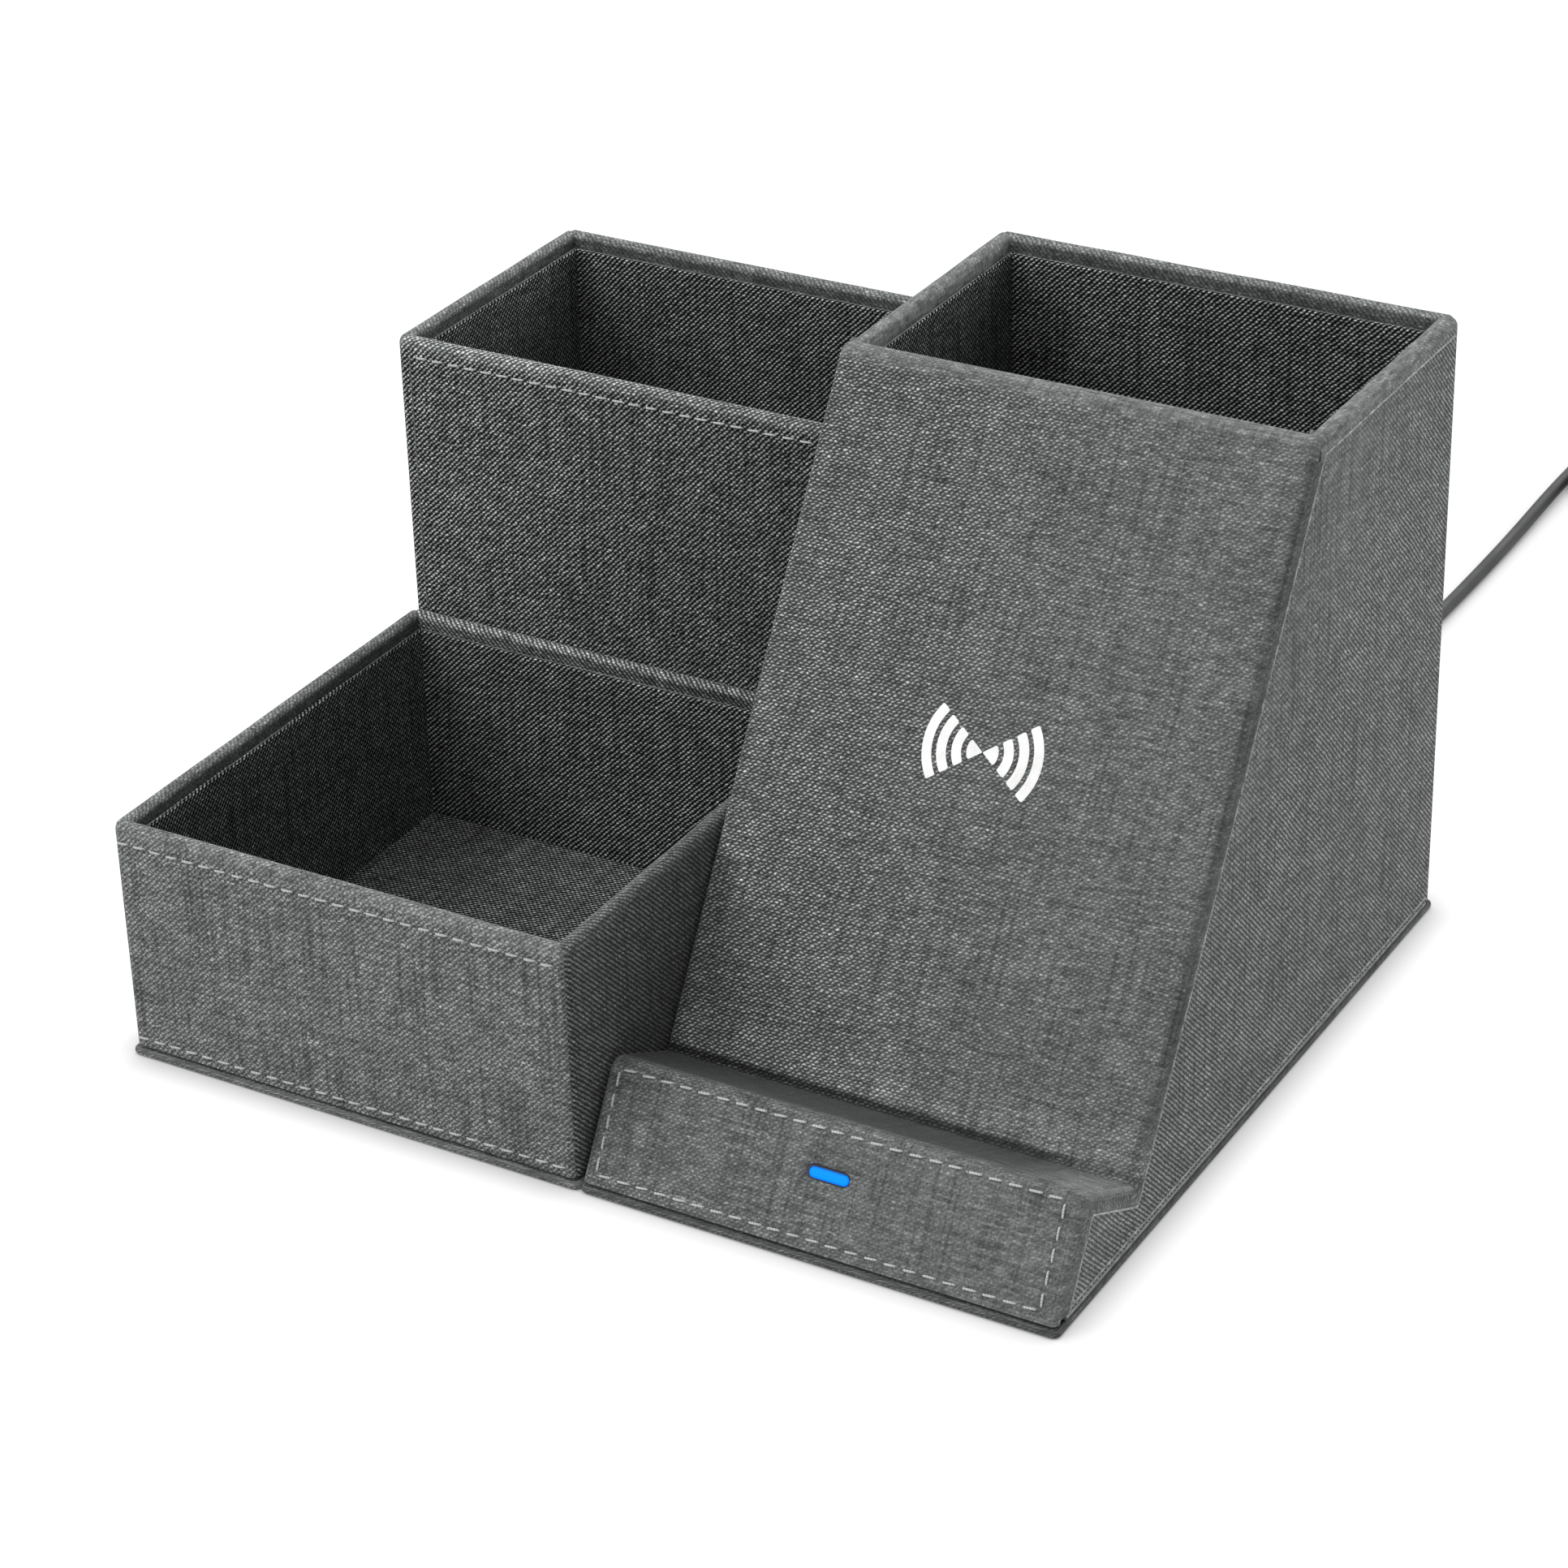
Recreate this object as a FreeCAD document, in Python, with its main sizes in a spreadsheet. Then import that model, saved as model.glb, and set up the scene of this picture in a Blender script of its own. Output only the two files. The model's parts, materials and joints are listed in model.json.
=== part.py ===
import FreeCAD, Part
import math
import os
import re
import Sketcher

# A fabric-covered desk organizer with a wireless phone charger. A low tray stands in front of a tall
# box on one base. Beside them a tower leans back as the phone rest, with a pen compartment behind it
# and the charger inside. +X is to the viewer's right, +Y to the back, +Z up; z = 0 is the desk.

SIZES = {
    # Storage module: low tray in front, tall box behind
    "storage_width": 104.0,
    "tray_depth": 104.9,
    "tall_depth": 66.7,
    "tray_height": 52.8,
    "tall_height": 114.3,
    # Charging tower: leaning lip, ledge for the phone, slope behind it
    "tower_width": 100.0,
    "tower_height": 132.8,
    "lip_run": 12.6,
    "lip_top": 23.7,
    "ledge_run": 18.7,
    "ledge_drop": 9.5,
    "slope_run": 73.2,
    "pen_floor_height": 28.0,
    # Wrapped boards
    "base_thick": 2.4,
    "base_proud": 0.5,
    "base_round": 0.9,
    "wall_thick": 3.2,
    "wall_round": 1.2,
    "tower_board": 4.0,
    "tower_round": 1.5,
    "floor_thick": 3.6,
    "liner_thick": 1.2,
    "liner_drop": 3.0,
    "liner_round": 0.4,
    "divider_thick": 3.0,
    "divider_round": 1.0,
    "bond_length": 30.0,
    "bond_height": 20.0,
    "bond_low": 12.0,
    # Indicator light in the lip
    "light_width": 9.3,
    "light_height": 2.8,
    "light_up": 14.5,
    "light_slack": 0.1,
    "light_sunk": 0.25,
    "light_flange": 1.4,
    "light_flange_thick": 1.0,
    "led_width": 3.5,
    "led_height": 2.8,
    "led_thick": 1.5,
    "led_board_width": 14.0,
    "led_board_height": 6.4,
    "led_board_thick": 1.0,
    # Transmitter behind the slope
    "coil_up": 69.4,
    "coil_outer": 43.0,
    "coil_inner": 20.5,
    "coil_thick": 1.2,
    "ferrite_margin": 5.0,
    "ferrite_thick": 1.0,
    "carrier_rim": 6.25,
    "carrier_back": 2.0,
    "carrier_slack": 0.25,
    "carrier_hole_inset": 3.2,
    "carrier_screw_share": 0.6,
    # Charger circuit board on standoffs
    "board_length": 52.0,
    "board_depth": 36.0,
    "board_thick": 1.6,
    "board_setback": 2.0,
    "board_hole_inset": 3.5,
    "standoff_radius": 2.9,
    "screw_radius": 1.1,
    "screw_slack": 0.15,
    "screw_head_radius": 2.1,
    "screw_head_thick": 1.4,
    "board_screw_share": 0.6,
    "chip_side": 7.0,
    "chip_thick": 0.9,
    "inductor_side": 8.0,
    "inductor_thick": 4.2,
    "capacitor_length": 3.2,
    "capacitor_width": 1.6,
    "capacitor_thick": 1.5,
    "capacitor_gap": 1.4,
    # Socket and its frame in the back panel
    "port_height": 14.0,
    "usb_c_width": 8.25,
    "usb_c_height": 2.4,
    "usb_c_wall": 0.3,
    "usb_c_insert": 6.65,
    "usb_c_web": 1.05,
    "usb_c_slack": 0.2,
    "socket_room": 0.55,
    "socket_back": 0.5,
    "tongue_side_gap": 0.575,
    "tongue_gap": 0.55,
    "tongue_recess": 2.5,
    "bezel_wall": 1.1,
    "bezel_slack": 0.15,
    "bezel_flange": 1.6,
    "overmold_slack": 0.4,
    "plug_gap": 0.3,
    # Charging cable with its two plugs
    "cord_diameter": 3.2,
    "overmold_width": 12.3,
    "overmold_height": 6.5,
    "overmold_length": 20.0,
    "overmold_round": 2.6,
    "relief_radius": 2.7,
    "relief_tip_radius": 2.0,
    "relief_length": 10.0,
    "coil_inner_turn": 12.4,
    "turn_gap": 0.6,
    "layer_gap": 0.55,
    "tie_thick": 0.6,
    "tie_width": 8.0,
    "tie_gap": 0.3,
    "tie_side_gap": 1.0,
    "usb_a_width": 12.0,
    "usb_a_height": 4.5,
    "usb_a_length": 18.8,
    "usb_a_wall": 0.3,
    "usb_a_block_thick": 1.9,
    "usb_a_block_slack": 0.2,
    "grip_width": 15.6,
    "grip_height": 8.4,
    "grip_length": 28.0,
    "grip_round": 2.0,
    # Wires inside the tower
    "lead_diameter": 1.4,
    "lead_spread": 9.0,
}

# Places and sizes that follow from the ones above
PLACES = {
    "depth": "tray_depth + tall_depth",
    "half_width": "(storage_width + tower_width) / 2 + 2 * base_proud",
    "front_y": "-depth / 2",
    "back_y": "depth / 2",
    "tall_y": "front_y + tray_depth",
    "storage_x": "base_proud - half_width",
    "storage_right": "storage_x + storage_width",
    "tower_x": "half_width - base_proud - tower_width",
    "tower_mid": "tower_x + tower_width / 2",
    "tower_inner_x": "tower_x + tower_board",
    "tower_inner_width": "tower_width - 2 * tower_board",
    "back_inner_y": "back_y - tower_board",
    # Tower profile: lengths of the lip, ledge and slope, and where the boards' inner faces meet
    "lip_rise": "lip_top - base_thick",
    "lip_length": "sqrt(lip_run ^ 2 + lip_rise ^ 2)",
    "lip_angle": "atan2(lip_rise; lip_run)",
    "ledge_length": "sqrt(ledge_run ^ 2 + ledge_drop ^ 2)",
    "fold_y": "lip_run + ledge_run",
    "fold_z": "lip_top - ledge_drop",
    "slope_rise": "tower_height - fold_z",
    "slope_length": "sqrt(slope_run ^ 2 + slope_rise ^ 2)",
    "slope_angle": "atan2(slope_rise; slope_run)",
    "slope_top_y": "fold_y + slope_run",
    "lip_foot_y": "tower_board * lip_length / lip_rise",
    "lip_fold": "tower_board / (1 + (lip_run * ledge_run - lip_rise * ledge_drop)"
    " / (lip_length * ledge_length))",
    "lip_inner_y": "lip_run + lip_fold * (lip_rise / lip_length - ledge_drop / ledge_length)",
    "lip_inner_z": "lip_top - lip_fold * (lip_run / lip_length + ledge_run / ledge_length)",
    "lip_inner_length": "lip_length - lip_fold * (ledge_drop * lip_run + ledge_run * lip_rise)"
    " / (lip_length * ledge_length)",
    "ledge_fold": "tower_board / (1 + (ledge_run * slope_run - ledge_drop * slope_rise)"
    " / (ledge_length * slope_length))",
    "fold_inner_y": "fold_y + ledge_fold * (slope_rise / slope_length - ledge_drop / ledge_length)",
    "fold_inner_z": "fold_z - ledge_fold * (slope_run / slope_length + ledge_run / ledge_length)",
    "rim_inner_y": "slope_top_y + tower_board * slope_length / slope_rise",
    # Pen compartment behind the slope
    "divider_y": "front_y + rim_inner_y",
    "pen_front_y": "divider_y + divider_thick",
    "pen_depth": "back_inner_y - pen_front_y",
    # Charger electronics
    "socket_width": "usb_c_width + 2 * usb_c_slack + 2 * usb_c_wall",
    "socket_height": "usb_c_height + 2 * usb_c_slack + 2 * usb_c_wall",
    "socket_length": "usb_c_insert - plug_gap + socket_room + socket_back",
    "socket_y": "back_inner_y - socket_length",
    "tongue_width": "usb_c_width - 2 * usb_c_wall - 2 * tongue_side_gap",
    "tongue_thick": "usb_c_height - 2 * usb_c_wall - 2 * tongue_gap",
    "tongue_reach": "socket_length - socket_back - tongue_recess",
    "board_top": "port_height - socket_height / 2",
    "board_under": "board_top - board_thick",
    "board_x": "tower_mid - board_length / 2",
    "board_y": "back_inner_y - board_setback - board_depth",
    "board_screw_reach": "(board_under - base_thick) * board_screw_share",
    "capacitor_pitch": "capacitor_width + capacitor_gap",
    "ferrite_side": "coil_outer + 2 * ferrite_margin",
    "carrier_side": "ferrite_side + 2 * carrier_slack + 2 * carrier_rim",
    "carrier_screw_sink": "tower_board * carrier_screw_share",
    "carrier_thick": "coil_thick + ferrite_thick + carrier_back",
    "carrier_x": "(tower_width - carrier_side) / 2",
    "carrier_low": "coil_up - carrier_side / 2",
    "ferrite_place": "-tower_board - coil_thick - ferrite_thick",
    "bezel_hole_width": "overmold_width + 2 * overmold_slack",
    "bezel_hole_height": "overmold_height + 2 * overmold_slack",
    "bezel_width": "bezel_hole_width + 2 * bezel_wall",
    "bezel_height": "bezel_hole_height + 2 * bezel_wall",
    # Cable
    "cord_radius": "cord_diameter / 2",
    "overmold_y": "back_inner_y + plug_gap",
    "relief_y": "overmold_y + overmold_length",
    "cord_start_y": "relief_y + relief_length",
    "coil_low_z": "tie_thick + tie_gap + cord_radius",
    "coil_high_z": "coil_low_z + cord_diameter + layer_gap",
    "turn_pitch": "cord_diameter + turn_gap",
}

# Shares of the length that they follow
BOND_SHARES = (0.66, 0.5)
CHIP_SHARES = (0.42, 0.5)
INDUCTOR_SHARES = (0.68, 0.36)
CAPACITOR_SHARES = (0.2, 0.42)
ROUND_SHARE = 0.45
ARC_SHARE = 0.45
VOLUME_SHARE = 0.01
COIL_LEAD_SHARES = {"away": 0.25, "bend": (0.2, 0.2), "landing": 0.5}
LIGHT_LEAD_SHARES = {"floor": 0.25, "across": 0.5, "rise": 0.75}

# The coil of put-away cord: turns in and out again, each turn laid as arcs
COIL_TURNS = 6.5
CLIMB_TURNS = 0.5
STEPS_PER_TURN = 4
WAY_TURNS = 0.0025
CAPACITOR_COUNT = 4
GAP_SAMPLES = 1200

# How near an edge lies to a side to count as on it
TOUCH = 0.01
START, END, CENTRE = 1, 2, 3
ORIGIN, ORIGIN_POINT = -1, 1

doc = FreeCAD.newDocument("charging_organizer")
sheet = doc.addObject("Spreadsheet::Sheet", "sizes")
for row, (name, value) in enumerate(SIZES.items(), start=1):
    sheet.set(f"A{row}", name)
    sheet.set(f"B{row}", str(value))
    sheet.setAlias(f"B{row}", name)
doc.recompute()
places = doc.addObject("App::VarSet", "places")


def linked(formula):
    """The formula with each name read from the sheet or from the worked-out places."""

    def source(match):
        word = match.group(0)
        if word in SIZES:
            return "sizes." + word
        if word in PLACES:
            return "places." + word
        return word

    return re.sub(r"[a-z_][a-z0-9_]*", source, formula)


def bind(target, path, formula):
    target.setExpression(path, linked(formula))


for name, formula in PLACES.items():
    kind = "App::PropertyAngle" if name.endswith("_angle") else "App::PropertyFloat"
    places.addProperty(kind, name)
    bind(places, name, formula)
doc.recompute()

nodes = []


def size(name):
    """A number from the sheet or from the worked-out places."""
    return float(sheet.get(name)) if name in SIZES else float(getattr(places, name))


def new_body(label, at=("0", "0", "0"), tilt=None):
    """An empty body, placed by formulas and turned about X by a named angle."""
    body = doc.addObject("PartDesign::Body", label)
    body.Label = label
    body.AllowCompound = True
    if tilt:
        body.Placement.Rotation = FreeCAD.Rotation(FreeCAD.Vector(1, 0, 0), 1)
        bind(body, "Placement.Rotation.Angle", tilt)
    for axis, formula in zip("xyz", at):
        bind(body, f"Placement.Base.{axis}", formula)
    nodes.append(body)
    return body


def sketch_on(body, role, lift="0"):
    """A sketch on one of the body's own planes, lifted off it along the plane's normal."""
    sketch = body.newObject("Sketcher::SketchObject", body.Name + "_sketch")
    plane = next(item for item in body.Origin.OriginFeatures if item.Role == role)
    sketch.AttachmentSupport = (plane, [""])
    sketch.MapMode = "FlatFace"
    bind(sketch, "AttachmentOffset.Base.z", lift)
    return sketch


def pin(sketch, shape, spot, begin, place):
    """Tie a point of the sketch to two formulas, from where it begins."""
    for kind, value, formula in zip(("DistanceX", "DistanceY"), (begin.x, begin.y), place):
        index = sketch.addConstraint(
            Sketcher.Constraint(kind, ORIGIN, ORIGIN_POINT, shape, spot, value)
        )
        bind(sketch, f"Constraints[{index}]", formula)


def polygon(sketch, corners):
    """A closed outline through corners that are pairs of formulas."""
    count = len(corners)
    step = 2 * math.pi / count
    spots = [FreeCAD.Vector(math.cos(i * step), math.sin(i * step), 0) for i in range(count)]
    lines = [
        sketch.addGeometry(Part.LineSegment(spots[i], spots[(i + 1) % count]), False)
        for i in range(count)
    ]
    for i, corner in enumerate(corners):
        following = lines[(i + 1) % count]
        sketch.addConstraint(Sketcher.Constraint("Coincident", lines[i], END, following, START))
        pin(sketch, lines[i], START, spots[i], corner)


def rectangle(sketch, width, height, mid=("0", "0")):
    """A rectangle of two formulas about a middle point."""
    low = [f"{m} - ({s}) / 2" for m, s in zip(mid, (width, height))]
    high = [f"{m} + ({s}) / 2" for m, s in zip(mid, (width, height))]
    polygon(sketch, [(low[0], low[1]), (high[0], low[1]), (high[0], high[1]), (low[0], high[1])])


def circle(sketch, radius, mid=("0", "0")):
    """A circle whose radius and middle follow formulas."""
    origin = FreeCAD.Vector()
    ring = sketch.addGeometry(Part.Circle(origin, FreeCAD.Vector(0, 0, 1), 1), False)
    pin(sketch, ring, CENTRE, origin, mid)
    index = sketch.addConstraint(Sketcher.Constraint("Radius", ring, 1))
    bind(sketch, f"Constraints[{index}]", radius)


def stadium(sketch, width, height, mid=("0", "0")):
    """A slot outline with round ends, width over all, about a middle point."""
    up = FreeCAD.Vector(0, 0, 1)
    right, left = FreeCAD.Vector(1, 0, 0), FreeCAD.Vector(-1, 0, 0)
    rise = FreeCAD.Vector(0, 1, 0)
    quarter = math.pi / 2
    caps = [
        sketch.addGeometry(Part.ArcOfCircle(Part.Circle(right, up, 1), -quarter, quarter), False),
        sketch.addGeometry(Part.ArcOfCircle(Part.Circle(left, up, 1), quarter, 3 * quarter), False),
    ]
    sides = [
        sketch.addGeometry(Part.LineSegment(right + rise, left + rise), False),
        sketch.addGeometry(Part.LineSegment(left - rise, right - rise), False),
    ]
    for i in range(2):
        sketch.addConstraint(Sketcher.Constraint("Tangent", caps[i], END, sides[i], START))
        sketch.addConstraint(Sketcher.Constraint("Tangent", sides[i], END, caps[1 - i], START))
    half = f"(({width}) - ({height})) / 2"
    pin(sketch, caps[0], CENTRE, right, (f"{mid[0]} + {half}", mid[1]))
    pin(sketch, caps[1], CENTRE, left, (f"{mid[0]} - {half}", mid[1]))
    sketch.addConstraint(Sketcher.Constraint("Equal", caps[0], caps[1]))
    index = sketch.addConstraint(Sketcher.Constraint("Radius", caps[0], 1))
    bind(sketch, f"Constraints[{index}]", f"({height}) / 2")


def pad(body, sketch, length, reverse=False):
    """Grow the sketch into a solid along its normal, or against it."""
    feature = body.newObject("PartDesign::Pad", body.Name + "_pad")
    feature.Profile = sketch
    feature.Reversed = reverse
    bind(feature, "Length", length)
    return feature


def pocket(body, sketch, length=None, reverse=False):
    """Cut the sketch out of the body, right through if no length is given."""
    doc.recompute()
    before = body.Shape.Volume
    feature = body.newObject("PartDesign::Pocket", body.Name + "_pocket")
    feature.Profile = sketch
    feature.Reversed = reverse
    if length:
        bind(feature, "Length", length)
    else:
        feature.Type = "ThroughAll"
    doc.recompute()
    if not body.Shape.Volume < before:
        raise ValueError(f"{body.Label}: the pocket cuts nothing")
    return feature


def sides_of(edge, box):
    """The names of the box's sides that an edge lies on."""
    reach = edge.BoundBox
    tests = {
        "left": reach.XMax - box.XMin,
        "right": box.XMax - reach.XMin,
        "front": reach.YMax - box.YMin,
        "back": box.YMax - reach.YMin,
        "bottom": reach.ZMax - box.ZMin,
        "top": box.ZMax - reach.ZMin,
    }
    return {side for side, distance in tests.items() if distance < TOUCH}


def round_edges(body, radius, thick, pairs):
    """Round the edges that lie on both sides of one of the pairs, within the board's thickness."""
    doc.recompute()
    base = body.Tip
    shape = base.Shape
    names = [
        f"Edge{index}"
        for index, edge in enumerate(shape.Edges, start=1)
        if any(set(pair) <= sides_of(edge, shape.BoundBox) for pair in pairs)
    ]
    feature = body.newObject("PartDesign::Fillet", body.Name + "_round")
    feature.Base = (base, names)
    bind(feature, "Radius", f"min({radius}; {ROUND_SHARE} * {thick})")


def board(label, extent, at, rounds=(), fold=None, tilt=None, inside=None):
    """A flat board; fold names its edge radius and thickness, inside its place in a tilted frame."""
    body = new_body(label, at, tilt)
    box = body.newObject("PartDesign::AdditiveBox", label + "_box")
    for name, formula in zip(("Length", "Width", "Height"), extent):
        bind(box, name, formula)
    if inside:
        for axis, formula in zip("xyz", inside):
            bind(box, f"Placement.Base.{axis}", formula)
    if rounds:
        round_edges(body, *fold, rounds)
    return body


RIM_X = [("front", "top"), ("back", "top")]
RIM_Y = [("left", "top"), ("right", "top")]
ALL_ROUND = [
    (first, second)
    for first in ("left", "right", "front", "back", "bottom", "top")
    for second in ("left", "right", "front", "back", "bottom", "top")
    if first != second
]
ALONG_Y = [(side, level) for side in ("left", "right") for level in ("bottom", "top")]


def base_boards():
    """One thin wrapped board under each module, a little proud of its walls."""
    for label, left, width in (
        ("storage_base_board", "storage_x", "storage_width"),
        ("tower_base_board", "tower_x", "tower_width"),
    ):
        extent = (f"{width} + 2 * base_proud", "depth + 2 * base_proud", "base_thick")
        at = (f"{left} - base_proud", "front_y - base_proud", "0")
        board(label, extent, at, ALL_ROUND, ("base_round", "base_thick"))


def box_shell(name, y_low, depth, height, sides_cover):
    """Four wrapped walls. Either the sides or the front and back run full length."""
    wall_height = f"{height} - base_thick"
    x_inset, y_inset = ("wall_thick", "0") if sides_cover else ("0", "wall_thick")
    outer_y = f"{y_low} + {depth} - wall_thick"
    for side, y in (("front", y_low), ("back", outer_y)):
        rounds = list(RIM_X)
        if not sides_cover:
            rounds += [("left", side), ("right", side)] + RIM_Y
        board(
            f"{name}_{side}_panel",
            (f"storage_width - 2 * {x_inset}", "wall_thick", wall_height),
            (f"storage_x + {x_inset}", y, "base_thick"),
            rounds,
            ("wall_round", "wall_thick"),
        )
    for side, x in (("left", "storage_x"), ("right", "storage_right - wall_thick")):
        rounds = list(RIM_Y)
        if sides_cover:
            rounds += [(side, "front"), (side, "back")] + RIM_X
        board(
            f"{name}_{side}_panel",
            ("wall_thick", f"{depth} - 2 * {y_inset}", wall_height),
            (x, f"{y_low} + {y_inset}", "base_thick"),
            rounds,
            ("wall_round", "wall_thick"),
        )


def lining(name, left, low_y, width, depth, floor, rim, sides):
    """Covered boards inside a compartment: a floor, and thin upright liners standing on it."""
    board(f"{name}_floor_board", (width, depth, "floor_thick"), (left, low_y, floor))
    lined = f"{floor} + floor_thick"
    height = f"{rim} - liner_drop - ({lined})"
    beside = ("liner_thick", depth, height)
    across = (f"{width} - 2 * liner_thick", "liner_thick", height)
    within = f"{left} + liner_thick"
    upright = {
        "left": (beside, (left, low_y, lined), RIM_Y),
        "right": (beside, (f"{left} + {width} - liner_thick", low_y, lined), RIM_Y),
        "front": (across, (within, low_y, lined), RIM_X),
        "back": (across, (within, f"{low_y} + {depth} - liner_thick", lined), RIM_X),
    }
    for side in sides:
        extent, at, rounds = upright[side]
        board(f"{name}_{side}_liner", extent, at, rounds, ("liner_round", "liner_thick"))


def storage_module():
    """The low tray and the tall box, each with walls, floor and lining."""
    for name, y_low, depth, height, sides_cover in (
        ("tray", "front_y", "tray_depth", "tray_height", False),
        ("tall_box", "tall_y", "tall_depth", "tall_height", True),
    ):
        box_shell(name, y_low, depth, height, sides_cover)
        lining(
            name,
            "storage_x + wall_thick",
            f"{y_low} + wall_thick",
            "storage_width - 2 * wall_thick",
            f"{depth} - 2 * wall_thick",
            "base_thick",
            height,
            ("left", "right", "front", "back"),
        )


def bond_pads():
    """Adhesive pads that hold the storage module's walls to the tower's side."""
    body = new_body("module_bond_pads", ("storage_right", "front_y", "bond_low"))
    middles = (
        f"tray_depth * {BOND_SHARES[0]}",
        f"tray_depth + tall_depth * {BOND_SHARES[1]}",
    )
    sketch = sketch_on(body, "YZ_Plane")
    for middle in middles:
        rectangle(sketch, "bond_length", "bond_height", (middle, "bond_height / 2"))
    pad(body, sketch, "2 * base_proud")


def tower_shell():
    """Side panels cut to the tower's profile, with the lip, ledge and slope boards laid over them."""
    profile = [
        ("lip_foot_y", "base_thick"),
        ("depth", "base_thick"),
        ("depth", "tower_height"),
        ("rim_inner_y", "tower_height"),
        ("fold_inner_y", "fold_inner_z"),
        ("lip_inner_y", "lip_inner_z"),
    ]
    for side, x in (("left", "tower_x"), ("right", "tower_x + tower_width - tower_board")):
        body = new_body(f"tower_{side}_panel", (x, "front_y", "0"))
        sketch = sketch_on(body, "YZ_Plane")
        polygon(sketch, profile)
        pad(body, sketch, "tower_board")
        round_edges(body, "tower_round", "tower_board", RIM_Y + [(side, "back")])
    ledge = [
        ("lip_run", "lip_top"),
        ("fold_y", "fold_z"),
        ("fold_inner_y", "fold_inner_z"),
        ("lip_inner_y", "lip_inner_z"),
    ]
    slope = [
        ("fold_y", "fold_z"),
        ("slope_top_y", "tower_height"),
        ("rim_inner_y", "tower_height"),
        ("fold_inner_y", "fold_inner_z"),
    ]
    for label, outline, rims in (
        ("tower_ledge_panel", ledge, ()),
        ("tower_slope_panel", slope, RIM_X + RIM_Y),
    ):
        body = new_body(label, ("tower_x", "front_y", "0"))
        sketch = sketch_on(body, "YZ_Plane")
        polygon(sketch, outline)
        pad(body, sketch, "tower_width")
        if rims:
            round_edges(body, "tower_round", "tower_board", rims)


def lip_panel():
    """The leaning front board of the phone ledge, slotted for the indicator light."""
    body = new_body("tower_lip_panel", ("tower_x", "front_y", "base_thick"), "lip_angle")
    sketch = sketch_on(body, "YZ_Plane")
    outline = [
        ("0", "0"),
        ("lip_length", "0"),
        ("lip_inner_length", "-tower_board"),
        ("tower_board * lip_run / lip_rise", "-tower_board"),
    ]
    polygon(sketch, outline)
    pad(body, sketch, "tower_width")
    slot = sketch_on(body, "XY_Plane")
    stadium(
        slot,
        "light_width + 2 * light_slack",
        "light_height + 2 * light_slack",
        ("tower_width / 2", "light_up"),
    )
    pocket(body, slot)


def indicator_light():
    """A light window in the lip's slot, flanged behind it, with its LED and small board."""
    frame = ("tower_x", "front_y", "base_thick")
    mid = ("tower_width / 2", "light_up")
    window = new_body("light_window", frame, "lip_angle")
    face = sketch_on(window, "XY_Plane", "-tower_board")
    stadium(face, "light_width", "light_height", mid)
    pad(window, face, "tower_board - light_sunk")
    rim = sketch_on(window, "XY_Plane", "-tower_board")
    stadium(rim, "light_width + 2 * light_flange", "light_height + 2 * light_flange", mid)
    pad(window, rim, "light_flange_thick", reverse=True)
    for label, width, height, thick, depth in (
        ("light_led", "led_width", "led_height", "led_thick", "light_flange_thick + led_thick"),
        (
            "light_board",
            "led_board_width",
            "led_board_height",
            "led_board_thick",
            "light_flange_thick + led_thick + led_board_thick",
        ),
    ):
        corner = (f"{mid[0]} - {width} / 2", f"{mid[1]} - {height} / 2", f"-tower_board - ({depth})")
        board(label, (width, height, thick), frame, tilt="lip_angle", inside=corner)


def back_panel():
    """The back board between the sides, with an opening for the socket's frame."""
    body = board(
        "tower_back_panel",
        ("tower_inner_width", "tower_board", "tower_height - base_thick"),
        ("tower_inner_x", "back_inner_y", "base_thick"),
        RIM_X,
        ("tower_round", "tower_board"),
    )
    opening = sketch_on(body, "XZ_Plane")
    rectangle(
        opening,
        "bezel_width + 2 * bezel_slack",
        "bezel_height + 2 * bezel_slack",
        ("tower_inner_width / 2", "port_height - base_thick"),
    )
    pocket(body, opening)


def port_bezel():
    """A thin moulded frame that lines the opening, with a flange against the panel's back."""
    body = new_body("port_bezel", ("tower_mid", "back_inner_y", "port_height"))
    sleeve = sketch_on(body, "XZ_Plane")
    rectangle(sleeve, "bezel_width", "bezel_height")
    pad(body, sleeve, "tower_board", reverse=True)
    flange = sketch_on(body, "XZ_Plane", "-tower_board")
    rectangle(flange, "bezel_width + 2 * bezel_flange", "bezel_height + 2 * bezel_flange")
    pad(body, flange, "base_proud", reverse=True)
    hole = sketch_on(body, "XZ_Plane")
    rectangle(hole, "bezel_hole_width", "bezel_hole_height")
    pocket(body, hole)


def pen_compartment():
    """A divider behind the slope, and the floor and lining of the pen compartment."""
    board(
        "pen_divider_board",
        ("tower_inner_width", "divider_thick", "tower_height - liner_drop - pen_floor_height"),
        ("tower_inner_x", "divider_y", "pen_floor_height"),
        RIM_X,
        ("divider_round", "divider_thick"),
    )
    lining(
        "pen",
        "tower_inner_x",
        "pen_front_y",
        "tower_inner_width",
        "pen_depth",
        "pen_floor_height",
        "tower_height",
        ("left", "right", "back"),
    )


def corner_spots(length, depth, inset):
    """The four places inset from a plate's corners."""
    return [(x, y) for x in (inset, f"{length} - {inset}") for y in (inset, f"{depth} - {inset}")]


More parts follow.
